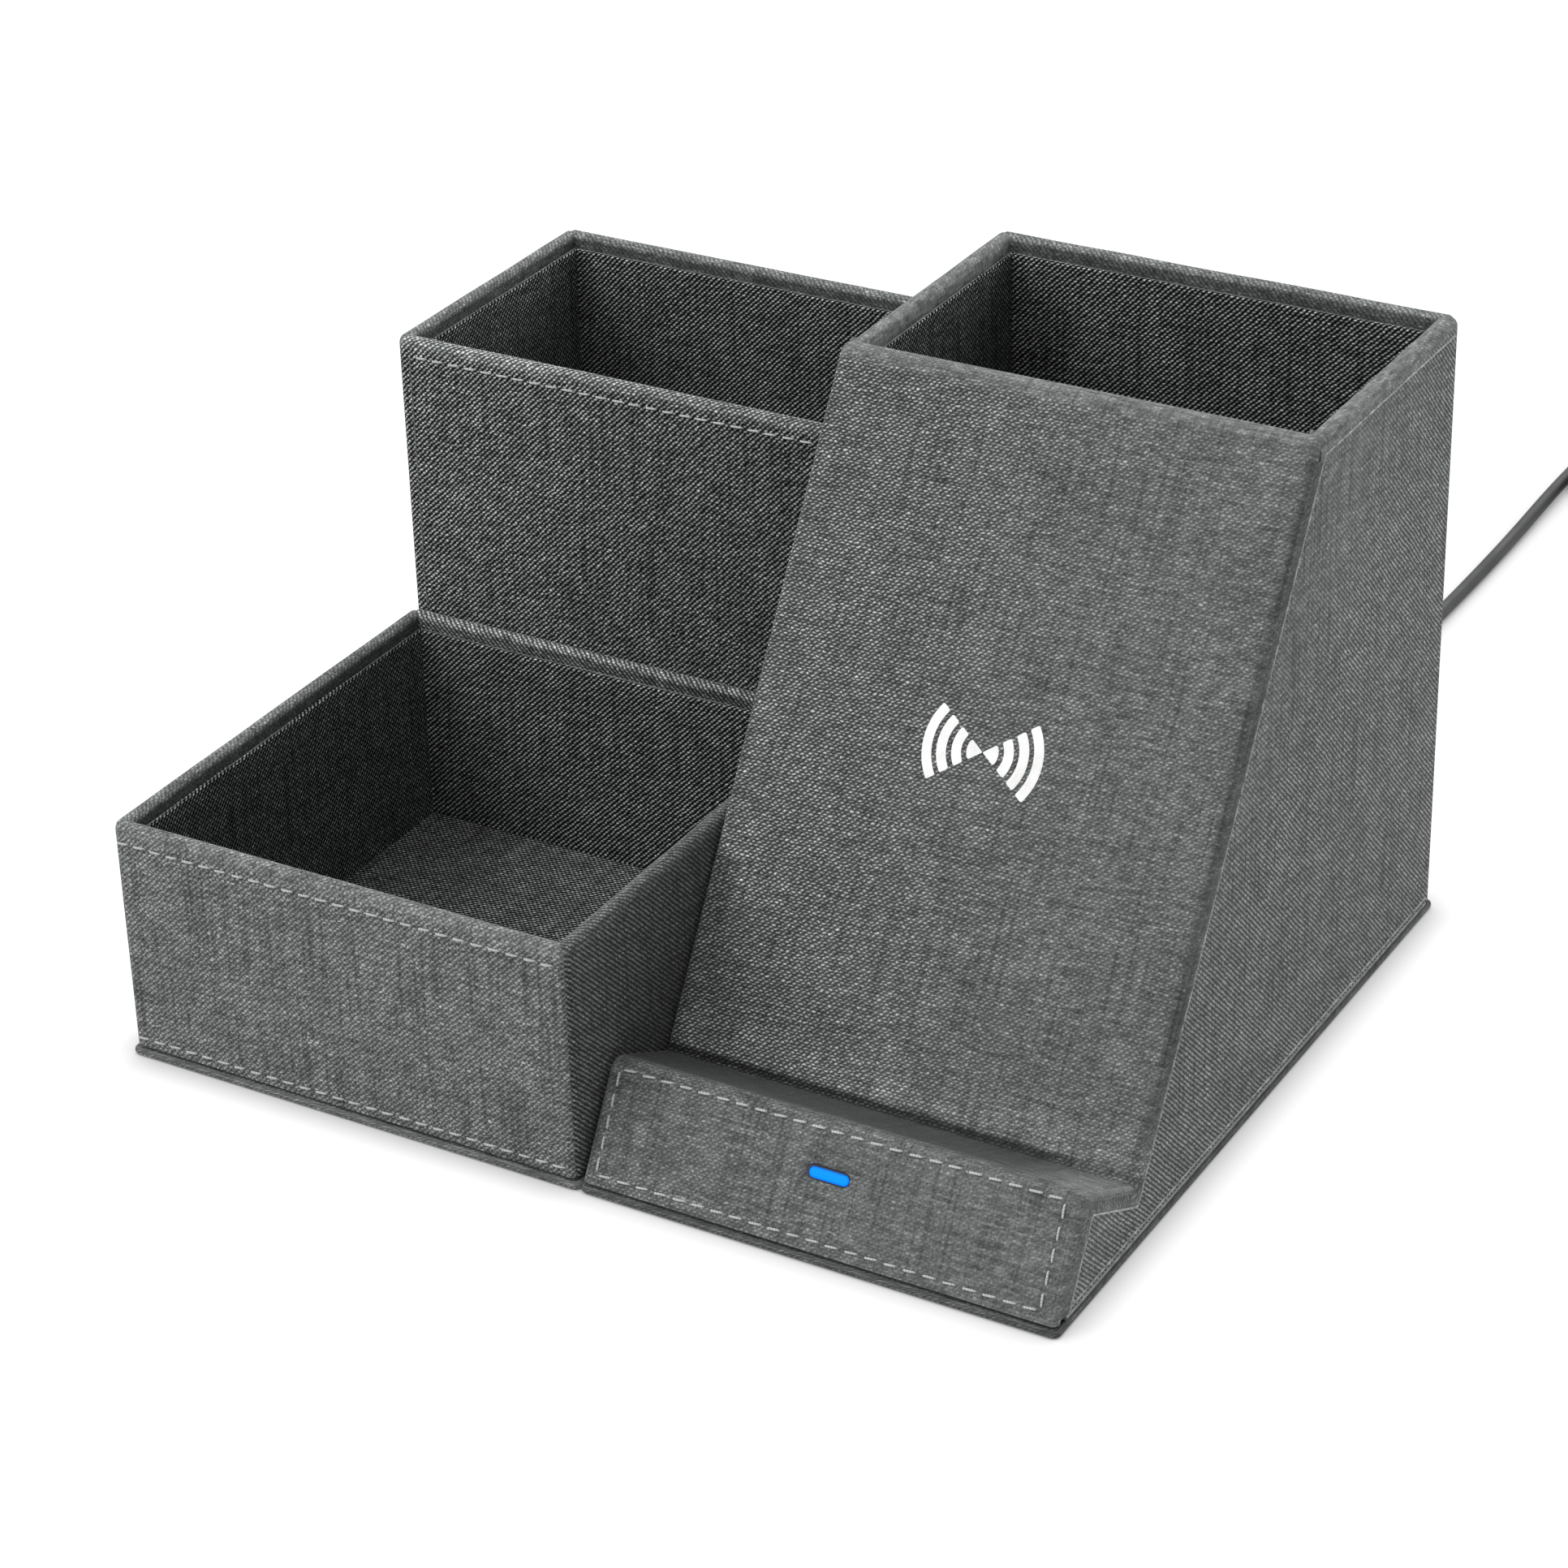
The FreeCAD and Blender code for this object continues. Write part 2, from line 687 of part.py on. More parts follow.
def transmitter():
    """The wound coil on its ferrite sheet, in a carrier screwed to the back of the slope."""
    frame = ("tower_x", "front_y + fold_y", "fold_z")
    carrier = new_body("coil_carrier", frame, "slope_angle")
    mid = ("tower_width / 2", "coil_up")
    plate = sketch_on(carrier, "XY_Plane", "-tower_board")
    rectangle(plate, "carrier_side", "carrier_side", mid)
    spots = corner_spots("carrier_side", "carrier_side", "carrier_hole_inset")
    for x, y in spots:
        circle(plate, "screw_radius + screw_slack", (f"carrier_x + {x}", f"carrier_low + {y}"))
    pad(carrier, plate, "carrier_thick", reverse=True)
    seat = sketch_on(carrier, "XY_Plane", "-tower_board")
    seat_side = "ferrite_side + 2 * carrier_slack"
    rectangle(seat, seat_side, seat_side, mid)
    pocket(carrier, seat, "coil_thick + ferrite_thick")
    board(
        "ferrite_sheet",
        ("ferrite_side", "ferrite_side", "ferrite_thick"),
        frame,
        tilt="slope_angle",
        inside=("(tower_width - ferrite_side) / 2", "coil_up - ferrite_side / 2", "ferrite_place"),
    )
    coil = new_body("transmitter_coil", frame, "slope_angle")
    ring = sketch_on(coil, "XY_Plane", "-tower_board")
    circle(ring, "coil_outer / 2", mid)
    circle(ring, "coil_inner / 2", mid)
    pad(coil, ring, "coil_thick", reverse=True)
    screws = new_body("carrier_screws", frame, "slope_angle")
    shanks = sketch_on(screws, "XY_Plane", "-tower_board - carrier_thick")
    heads = sketch_on(screws, "XY_Plane", "-tower_board - carrier_thick")
    for x, y in spots:
        spot = (f"carrier_x + {x}", f"carrier_low + {y}")
        circle(shanks, "screw_radius", spot)
        circle(heads, "screw_head_radius", spot)
    pad(screws, shanks, "carrier_thick + carrier_screw_sink")
    pad(screws, heads, "screw_head_thick", reverse=True)
    slope = next(body for body in nodes if body.Label == "tower_slope_panel")
    pilots = sketch_on(slope, "XY_Plane", "0")
    slope_pilots(slope, pilots, spots)


def slope_pilots(slope, pilots, spots):
    """Blind pilot holes for the carrier's screws in the back of the slope board."""
    turn = FreeCAD.Rotation(FreeCAD.Vector(1, 0, 0), 1)
    pilots.AttachmentOffset = FreeCAD.Placement(FreeCAD.Vector(), turn)
    bind(pilots, "AttachmentOffset.Rotation.Angle", "slope_angle")
    inner_y = "tower_board * slope_rise / slope_length"
    inner_z = "tower_board * slope_run / slope_length"
    bind(pilots, "AttachmentOffset.Base.y", f"fold_y + {inner_y}")
    bind(pilots, "AttachmentOffset.Base.z", f"fold_z - {inner_z}")
    for x, y in spots:
        spot = (f"carrier_x + {x}", f"carrier_low + {y}")
        circle(pilots, "screw_radius + screw_slack", spot)
    pocket(slope, pilots, "carrier_screw_sink + screw_slack", reverse=True)


def circuit_board():
    """The charger's board on four standoffs, held by four screws, with its main components."""
    frame = ("board_x", "board_y", "board_under")
    spots = corner_spots("board_length", "board_depth", "board_hole_inset")
    plate = new_body("circuit_board", frame)
    outline = sketch_on(plate, "XY_Plane")
    rectangle(outline, "board_length", "board_depth", ("board_length / 2", "board_depth / 2"))
    legs = new_body("board_standoffs", ("board_x", "board_y", "base_thick"))
    tubes = sketch_on(legs, "XY_Plane")
    screws = new_body("board_screws", frame)
    shanks = sketch_on(screws, "XY_Plane", "-board_screw_reach")
    heads = sketch_on(screws, "XY_Plane", "board_thick")
    for spot in spots:
        circle(outline, "screw_radius + screw_slack", spot)
        circle(tubes, "standoff_radius", spot)
        circle(tubes, "screw_radius + screw_slack", spot)
        circle(shanks, "screw_radius", spot)
        circle(heads, "screw_head_radius", spot)
    pad(plate, outline, "board_thick")
    pad(legs, tubes, "board_under - base_thick")
    pad(screws, shanks, "board_screw_reach + board_thick")
    pad(screws, heads, "screw_head_thick")
    parts = new_body("board_components", ("board_x", "board_y", "board_top"))
    for side, thick, shares in (
        ("chip_side", "chip_thick", CHIP_SHARES),
        ("inductor_side", "inductor_thick", INDUCTOR_SHARES),
    ):
        outline = sketch_on(parts, "XY_Plane")
        mid = (f"board_length * {shares[0]}", f"board_depth * {shares[1]}")
        rectangle(outline, side, side, mid)
        pad(parts, outline, thick)
    outlines = sketch_on(parts, "XY_Plane")
    for i in range(CAPACITOR_COUNT):
        mid = (
            f"board_length * {CAPACITOR_SHARES[0]}",
            f"board_depth * {CAPACITOR_SHARES[1]} + {i} * capacitor_pitch",
        )
        rectangle(outlines, "capacitor_length", "capacitor_width", mid)
    pad(parts, outlines, "capacitor_thick")


def socket():
    """The charging socket on the board's rear edge: a metal shell round a contact tongue."""
    at = ("tower_mid", "socket_y", "port_height")
    shell = new_body("socket_shell", at)
    outside = sketch_on(shell, "XZ_Plane")
    stadium(outside, "socket_width", "socket_height")
    pad(shell, outside, "socket_length", reverse=True)
    inside = sketch_on(shell, "XZ_Plane", "-socket_back")
    stadium(inside, "usb_c_width + 2 * usb_c_slack", "usb_c_height + 2 * usb_c_slack")
    pocket(shell, inside)
    tongue = new_body("socket_tongue", at)
    blade = sketch_on(tongue, "XZ_Plane", "-socket_back")
    rectangle(blade, "tongue_width", "tongue_thick")
    pad(tongue, blade, "tongue_reach", reverse=True)


def cable_plug():
    """The cable's plug in the socket: metal shell, moulded grip and tapered strain relief."""
    at = ("tower_mid", "overmold_y", "port_height")
    shell = new_body("plug_shell", at)
    outside = sketch_on(shell, "XZ_Plane")
    stadium(outside, "usb_c_width", "usb_c_height")
    pad(shell, outside, "usb_c_insert")
    inside = sketch_on(shell, "XZ_Plane", "usb_c_web")
    stadium(inside, "usb_c_width - 2 * usb_c_wall", "usb_c_height - 2 * usb_c_wall")
    pocket(shell, inside, reverse=True)
    board(
        "plug_grip",
        ("overmold_width", "overmold_length", "overmold_height"),
        (
            "tower_mid - overmold_width / 2",
            "overmold_y",
            "port_height - overmold_height / 2",
        ),
        ALONG_Y,
        ("overmold_round", "overmold_height"),
    )
    strain_relief("plug_strain_relief", ("tower_mid", "relief_y", "port_height"))


def strain_relief(label, at):
    """A tapered sleeve that points to the back, its wide end on the plug's grip."""
    body = new_body(label, at)
    body.Placement.Rotation = FreeCAD.Rotation(FreeCAD.Vector(1, 0, 0), -90)
    cone = body.newObject("PartDesign::AdditiveCone", label + "_cone")
    bind(cone, "Radius1", "relief_radius")
    bind(cone, "Radius2", "relief_tip_radius")
    bind(cone, "Height", "relief_length")


def arc_through(begin, corner, end):
    """The arc that leaves begin towards corner and reaches end coming from corner."""
    middle = (begin + end) / 2
    half = (end - begin).Length / 2
    reach = corner - middle
    sagitta = half * math.tan(math.atan2(reach.Length, half) / 2)
    return Part.Arc(begin, middle + reach * (sagitta / reach.Length), end).toShape()


def rounded_route(label, points):
    """Straight runs joined by the largest arcs that the runs leave room for."""
    edges = []
    radii = []
    begin = points[0]
    for before, corner, after in zip(points, points[1:], points[2:]):
        into, out = corner - before, after - corner
        cut = ARC_SHARE * min(into.Length, out.Length)
        enter = corner - into * (cut / into.Length)
        leave = corner + out * (cut / out.Length)
        radii.append(cut / math.tan(into.getAngle(out) / 2))
        edges.append(Part.LineSegment(begin, enter).toShape())
        edges.append(arc_through(enter, corner, leave))
        begin = leave
    edges.append(Part.LineSegment(begin, points[-1]).toShape())
    print(label, "bend radii", [round(radius, 1) for radius in radii])
    return Part.Wire(edges)


def tube(label, wire, diameter):
    """A round tube along a wire, as a node of its own."""
    first = wire.OrderedEdges[0]
    begin = first.valueAt(first.FirstParameter)
    along = first.tangentAt(first.FirstParameter)
    radius = diameter / 2
    ring = Part.Wire(Part.makeCircle(radius, begin, along))
    solid = wire.makePipeShell([ring], True, False)
    expected = math.pi * radius**2 * wire.Length
    if abs(solid.Volume - expected) > VOLUME_SHARE * expected:
        raise ValueError(f"{label}: volume {solid.Volume:.1f}, expected {expected:.1f}")
    print(label, "length", round(wire.Length, 1))
    node = doc.addObject("Part::Feature", label)
    node.Label = label
    node.Shape = solid
    node.Placement = FreeCAD.Placement()
    nodes.append(node)
    return wire


def biarc(begin, begin_way, end, end_way):
    """Two tangent arcs from one point and direction to another."""
    span = end - begin
    ways = begin_way + end_way
    bend = 2 * (1 - begin_way.dot(end_way))
    along = span.dot(ways)
    reach = (math.sqrt(along**2 + bend * span.dot(span)) - along) / bend
    first, second = begin + begin_way * reach, end - end_way * reach
    middle = (first + second) / 2
    return [arc_through(begin, first, middle), arc_through(middle, second, end)]


def coil_path(begin):
    """The put-away turns: inward on the desk, up a layer at the reversal, and outward on top."""
    pitch = size("turn_pitch")
    outer = size("coil_inner_turn") + pitch * COIL_TURNS / 2
    low, rise = begin.z, size("coil_high_z") - size("coil_low_z")
    centre = begin + FreeCAD.Vector(outer, size("cord_diameter"), 0)

    def spot(turns):
        radius = size("coil_inner_turn") + pitch * abs(turns - COIL_TURNS / 2)
        angle = math.pi - 2 * math.pi * turns
        climbed = min(max((turns - (COIL_TURNS - CLIMB_TURNS) / 2) / CLIMB_TURNS, 0), 1)
        return FreeCAD.Vector(
            centre.x + radius * math.cos(angle),
            centre.y + radius * math.sin(angle),
            low + rise * climbed,
        )

    def way(turns):
        return (spot(turns + WAY_TURNS) - spot(turns - WAY_TURNS)).normalize()

    count = int(COIL_TURNS * STEPS_PER_TURN)
    spots = [spot(i / STEPS_PER_TURN) for i in range(count + 1)]
    ahead, behind = FreeCAD.Vector(0, 1, 0), FreeCAD.Vector(0, -1, 0)
    ways = [ahead] + [way(i / STEPS_PER_TURN) for i in range(1, count)] + [behind]
    edges = [Part.LineSegment(begin, spots[0]).toShape()]
    for i in range(count):
        edges += biarc(spots[i], ways[i], spots[i + 1], ways[i + 1])
    leave = spots[-1] + behind * size("cord_diameter")
    edges.append(Part.LineSegment(spots[-1], leave).toShape())
    return Part.Wire(edges), centre, leave


def print_least_gap(label, wire, diameter):
    """Measure, on points along the tube, how near it comes to itself."""
    points = wire.discretize(GAP_SAMPLES)
    step = wire.Length / (GAP_SAMPLES - 1)
    skip = int(math.pi * size("coil_inner_turn") / step)
    least = min(
        points[i].distanceToPoint(points[j])
        for i in range(len(points))
        for j in range(i + skip, len(points))
    )
    print(label, "least gap to itself", round(least - diameter, 2))


def charging_cable():
    """The cable: a free stretch along the desk, the put-away coil with its tie, and the far plug."""
    thick = size("cord_diameter")
    rest, port = size("cord_radius"), size("port_height")
    low = size("coil_low_z")
    start = FreeCAD.Vector(size("tower_mid"), size("cord_start_y"), 0)
    # Each point: to the right of the plug, behind its strain relief, above the desk
    route = [
        (0.0, 0.0, port),
        (0.0, 13.0, port),
        (0.1, 32.0, 9.0),
        (0.4, 54.0, 3.2),
        (0.9, 78.0, rest),
        (1.4, 108.0, rest),
        (1.2, 140.0, rest),
        (0.8, 168.0, low),
        (0.8, 188.0, low),
    ]
    points = [start + FreeCAD.Vector(*offset) for offset in route]
    tube("charging_cable", rounded_route("charging_cable", points), thick)
    path, centre, leave = coil_path(points[-1])
    tube("charging_cable_coil", path, thick)
    print_least_gap("charging_cable_coil", path, thick)
    cable_tie(centre)
    far_end(leave)


def cable_tie(centre):
    """A flat strap round the coil's turns at the back of the coil."""
    doc.recompute()
    half = size("tie_width") / 2
    inner_turn = size("coil_inner_turn")
    bow = inner_turn - math.sqrt(inner_turn**2 - half**2)
    margin = size("cord_radius") + size("tie_side_gap")
    near = inner_turn - bow - margin
    far = inner_turn + size("turn_pitch") * COIL_TURNS / 2 + margin
    bottom = size("tie_thick")
    top = size("coil_high_z") + size("cord_radius") + size("tie_gap")
    wall = size("tie_thick")
    outside = Part.makeBox(2 * half, far - near + 2 * wall, top - bottom + 2 * wall)
    inside = Part.makeBox(2 * half, far - near, top - bottom, FreeCAD.Vector(0, wall, wall))
    strap = doc.addObject("Part::Feature", "cable_tie")
    strap.Label = "cable_tie"
    strap.Shape = outside.cut(inside)
    strap.Placement.Base = FreeCAD.Vector(centre.x - half, centre.y + near - wall, bottom - wall)
    nodes.append(strap)


def far_end(leave):
    """The cord's last stretch down to the far plug, which lies on the desk beside the coil."""
    level = size("grip_height") / 2
    # Each point: towards the organizer from where the coil ends, above the desk
    route = [(0.0, leave.z), (7.5, leave.z), (17.0, level), (24.5, level)]
    points = [FreeCAD.Vector(leave.x, leave.y - back, height) for back, height in route]
    tail = rounded_route("charging_cable_tail", points)
    tube("charging_cable_tail", tail, size("cord_diameter"))
    tip = points[-1]
    middle_x = str(tip.x)
    relief_end = str(tip.y - size("relief_length"))
    grip_end = str(tip.y - size("relief_length") - size("grip_length"))
    strain_relief("far_strain_relief", (middle_x, relief_end, "grip_height / 2"))
    board(
        "far_plug_grip",
        ("grip_width", "grip_length", "grip_height"),
        (f"{middle_x} - grip_width / 2", grip_end, "0"),
        ALONG_Y,
        ("grip_round", "grip_height"),
    )
    mouth = (middle_x, grip_end, "grip_height / 2")
    shell = new_body("far_plug_shell", mouth)
    outside = sketch_on(shell, "XZ_Plane")
    rectangle(outside, "usb_a_width", "usb_a_height")
    pad(shell, outside, "usb_a_length")
    inside = sketch_on(shell, "XZ_Plane", "usb_a_wall")
    rectangle(inside, "usb_a_width - 2 * usb_a_wall", "usb_a_height - 2 * usb_a_wall")
    pocket(shell, inside, reverse=True)
    block = new_body("far_plug_contact_block", mouth)
    tongue = sketch_on(block, "XZ_Plane", "usb_a_wall")
    rectangle(
        tongue,
        "usb_a_width - 2 * usb_a_wall - 2 * usb_a_block_slack",
        "usb_a_block_thick",
        ("0", "usb_a_height / 2 - usb_a_wall - usb_a_block_thick / 2"),
    )
    pad(block, tongue, "usb_a_length - 2 * usb_a_wall")


def inner_leads():
    """Wires from the transmitter and from the light to the front edge of the charger's board."""
    slope = math.radians(size("slope_angle"))
    lip = math.radians(size("lip_angle"))
    mid = size("tower_mid")
    spread = size("lead_spread")
    board_y, board_z = size("board_y"), size("board_top") - size("board_thick") / 2
    fold = FreeCAD.Vector(mid - spread, size("front_y") + size("fold_y"), size("fold_z"))
    up = FreeCAD.Vector(0, math.cos(slope), math.sin(slope))
    inward = FreeCAD.Vector(0, math.sin(slope), -math.cos(slope))
    edge = size("tower_board") + size("carrier_thick") / 2
    begin = fold + up * size("carrier_low") + inward * edge
    drop = begin.z - board_z
    gap = board_y - begin.y
    shares = COIL_LEAD_SHARES
    bend_y, bend_z = shares["bend"]
    coil_route = [
        begin,
        begin - up * (drop * shares["away"]),
        FreeCAD.Vector(begin.x, begin.y + gap * bend_y, board_z + drop * bend_z),
        FreeCAD.Vector(begin.x, begin.y + gap * shares["landing"], board_z),
        FreeCAD.Vector(begin.x, board_y, board_z),
    ]
    tube("coil_lead", rounded_route("coil_lead", coil_route), size("lead_diameter"))
    foot = FreeCAD.Vector(mid + spread / 2, size("front_y"), size("base_thick"))
    lip_up = FreeCAD.Vector(0, math.cos(lip), math.sin(lip))
    lip_in = FreeCAD.Vector(0, math.sin(lip), -math.cos(lip))
    stack = (
        size("tower_board")
        + size("light_flange_thick")
        + size("led_thick")
        + size("led_board_thick")
    )
    begin = foot + lip_up * size("light_up") + lip_in * stack
    gap = board_y - begin.y
    low = size("base_thick") + size("lead_diameter")
    shares = LIGHT_LEAD_SHARES
    across = begin.x + spread
    light_route = [
        begin,
        begin + lip_in * (2 * size("lead_diameter")),
        FreeCAD.Vector(begin.x, begin.y + gap * shares["floor"], low),
        FreeCAD.Vector(across, begin.y + gap * shares["across"], low),
        FreeCAD.Vector(across, begin.y + gap * shares["rise"], board_z),
        FreeCAD.Vector(across, board_y, board_z),
    ]
    tube("light_lead", rounded_route("light_lead", light_route), size("lead_diameter"))


base_boards()
storage_module()
bond_pads()
tower_shell()
lip_panel()
indicator_light()
back_panel()
port_bezel()
pen_compartment()
transmitter()
circuit_board()
socket()
cable_plug()
charging_cable()
inner_leads()
doc.recompute()

for item in doc.Objects:
    if "Invalid" in item.State or "Error" in item.State:
        raise ValueError(f"{item.Label} failed: {item.State}")
for node in nodes:
    if node.Shape.isNull() or not node.Shape.isValid() or not node.Shape.Solids:
        raise ValueError(f"{node.Label} has no valid solid")

os.makedirs("parts", exist_ok=True)
for node in nodes:
    node.Shape.exportStep(f"parts/{node.Label}.step")
print(len(nodes), "nodes")
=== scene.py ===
import json
from collections import namedtuple
from math import ceil, copysign, cos, pi, radians, sin, sqrt, tan
import bmesh
import bpy
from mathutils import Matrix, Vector, noise


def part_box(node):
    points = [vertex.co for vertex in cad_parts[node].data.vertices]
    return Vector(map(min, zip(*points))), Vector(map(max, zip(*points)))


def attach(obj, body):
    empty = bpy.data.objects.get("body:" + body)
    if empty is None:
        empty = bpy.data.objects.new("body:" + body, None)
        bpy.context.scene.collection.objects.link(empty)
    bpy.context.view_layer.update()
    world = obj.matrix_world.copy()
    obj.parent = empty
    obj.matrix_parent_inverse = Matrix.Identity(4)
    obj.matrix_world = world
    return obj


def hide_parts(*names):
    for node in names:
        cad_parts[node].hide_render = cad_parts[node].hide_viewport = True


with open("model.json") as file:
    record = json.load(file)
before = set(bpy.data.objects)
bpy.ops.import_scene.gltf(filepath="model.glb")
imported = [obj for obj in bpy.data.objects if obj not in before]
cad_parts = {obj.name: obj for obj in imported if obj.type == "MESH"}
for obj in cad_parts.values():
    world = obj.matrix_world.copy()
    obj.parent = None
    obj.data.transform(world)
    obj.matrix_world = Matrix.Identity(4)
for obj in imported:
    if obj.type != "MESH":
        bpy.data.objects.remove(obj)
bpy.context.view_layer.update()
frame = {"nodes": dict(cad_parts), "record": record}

# A fabric-covered desk organizer: a low tray, a tall box and a leaning charging tower with a cable.
# Lengths are in millimetres until a mesh is written.
MM = 0.001
BODY = "organizer"
CABLE_BODY = "cable"
X, Y = Vector((1, 0)), Vector((0, 1))
SIDES = ("front", "back", "left", "right")


def span(*nodes):
    """Lowest and highest corner of some CAD nodes together, in millimetres."""
    boxes = [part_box(node) for node in nodes]
    low = Vector([min(box[0][i] for box in boxes) / MM for i in range(3)])
    high = Vector([max(box[1][i] for box in boxes) / MM for i in range(3)])
    return low, high


def furthest(node, y, z):
    """A node's furthest vertex along a direction, both in the YZ plane."""
    way = Vector((0, y, z))
    point = max((v.co for v in frame["nodes"][node].data.vertices), key=way.dot) / MM
    return Vector((point.y, point.z))


def meet(point, way, other, other_way):
    """Where two lines of a plane cross."""
    cross = way.x * other_way.y - way.y * other_way.x
    gap = other - point
    return point + way * ((gap.x * other_way.y - gap.y * other_way.x) / cross)


TRAY = span(*(f"tray_{side}_panel" for side in SIDES))
TALL = span(*(f"tall_box_{side}_panel" for side in SIDES))
TOWER = span("tower_left_panel", "tower_right_panel", "tower_back_panel", "tower_lip_panel")
TOWER_MIDDLE = (TOWER[0].x + TOWER[1].x) / 2
TOWER_HALF = (TOWER[1].x - TOWER[0].x) / 2
WALL_THICK = span("tray_left_panel")[1].x - TRAY[0].x
BOARD_THICK = span("tower_left_panel")[1].x - TOWER[0].x
BASE_TOP = TRAY[0].z

# Tower profile in the YZ plane: points and directions of the lip, the ledge and the slope
REST = next(mount for mount in frame["record"]["mounts"] if mount["name"] == "phone_rest")
LEVEL = Vector((1, 0))
SLOPE_OUT = Vector((REST["axis"][1], REST["axis"][2])).normalized()
SLOPE_UP = Vector((SLOPE_OUT.y, -SLOPE_OUT.x))
FOOT = Vector((TOWER[0].y, BASE_TOP))
LIP_TOP = furthest("tower_lip_panel", 0, 1)
FOLD = furthest("tower_slope_panel", -1, 0.1)
LIP_UP = (LIP_TOP - FOOT).normalized()
LEDGE_BACK = (FOLD - LIP_TOP).normalized()
CREST = meet(FOLD, SLOPE_UP, Vector((0, TOWER[1].z)), LEVEL)
LIP, SLOPE = (FOOT, LIP_UP), (FOLD, SLOPE_UP)

# Where the front's cloth changes on its way up, and where it turns in at the right
LEDGE_START = (LIP_TOP - FOOT).length
LEDGE_END = LEDGE_START + (FOLD - LIP_TOP).length
SLOPE_END = LEDGE_END + (CREST - FOLD).length
TURNED_IN = BOARD_THICK + TOWER[1].x - TOWER[0].x

# Wrapped cloth: its roundings and the unevenness of handwork
RIM_ROUND, LINER_ROUND, LINER_SHARE = 1.5, 0.5, 0.42
CORNER_ROUND, CORNER_DROP, CORNER_TURN = 2.2, 0.7, radians(45)
TOWER_ROUND, CREST_ROUND, LIP_ROUND, FOLD_ROUND = 1.9, 3.0, 3.2, 0.9
EDGE_ROUND, EDGE_GROOVE = 1.3, 0.4
SHARP, SHARPEST = 0.05, 0.02
WAVER, WAVER_LENGTH = 0.1, 14.0
ARC_STEPS, CORNER_STEPS = 6, 5

# Weave, with tones from low to high
YARN_PITCH, BRIGHTEST_YARN = 0.6, 0.9
EVEN, LOOSE = 0.8, 1.7
LUSTRE, DULL = 1.0, 0.15
SLUBS, FAINT_SLUBS, CROSS_SLUBS = (0.63, 1.14), (0.7, 1.12), (0.78, 1.06)
WARP_EDGES, WEFT_EDGES = (0.28, 0.56), (0.28, 0.52)
YARN_TONES, DASH_TONES, PATCH_TONES = (0.62, 1.38), (0.75, 1.25), (0.92, 1.08)
DASH_TAPER = 0.6
TINGE = (0.95, 1.0, 0.985)
NOISE_LOW, NOISE_HIGH = 0.3, 0.7
BROAD_SHARE, GLOSS_SPREAD = 0.08, 0.08


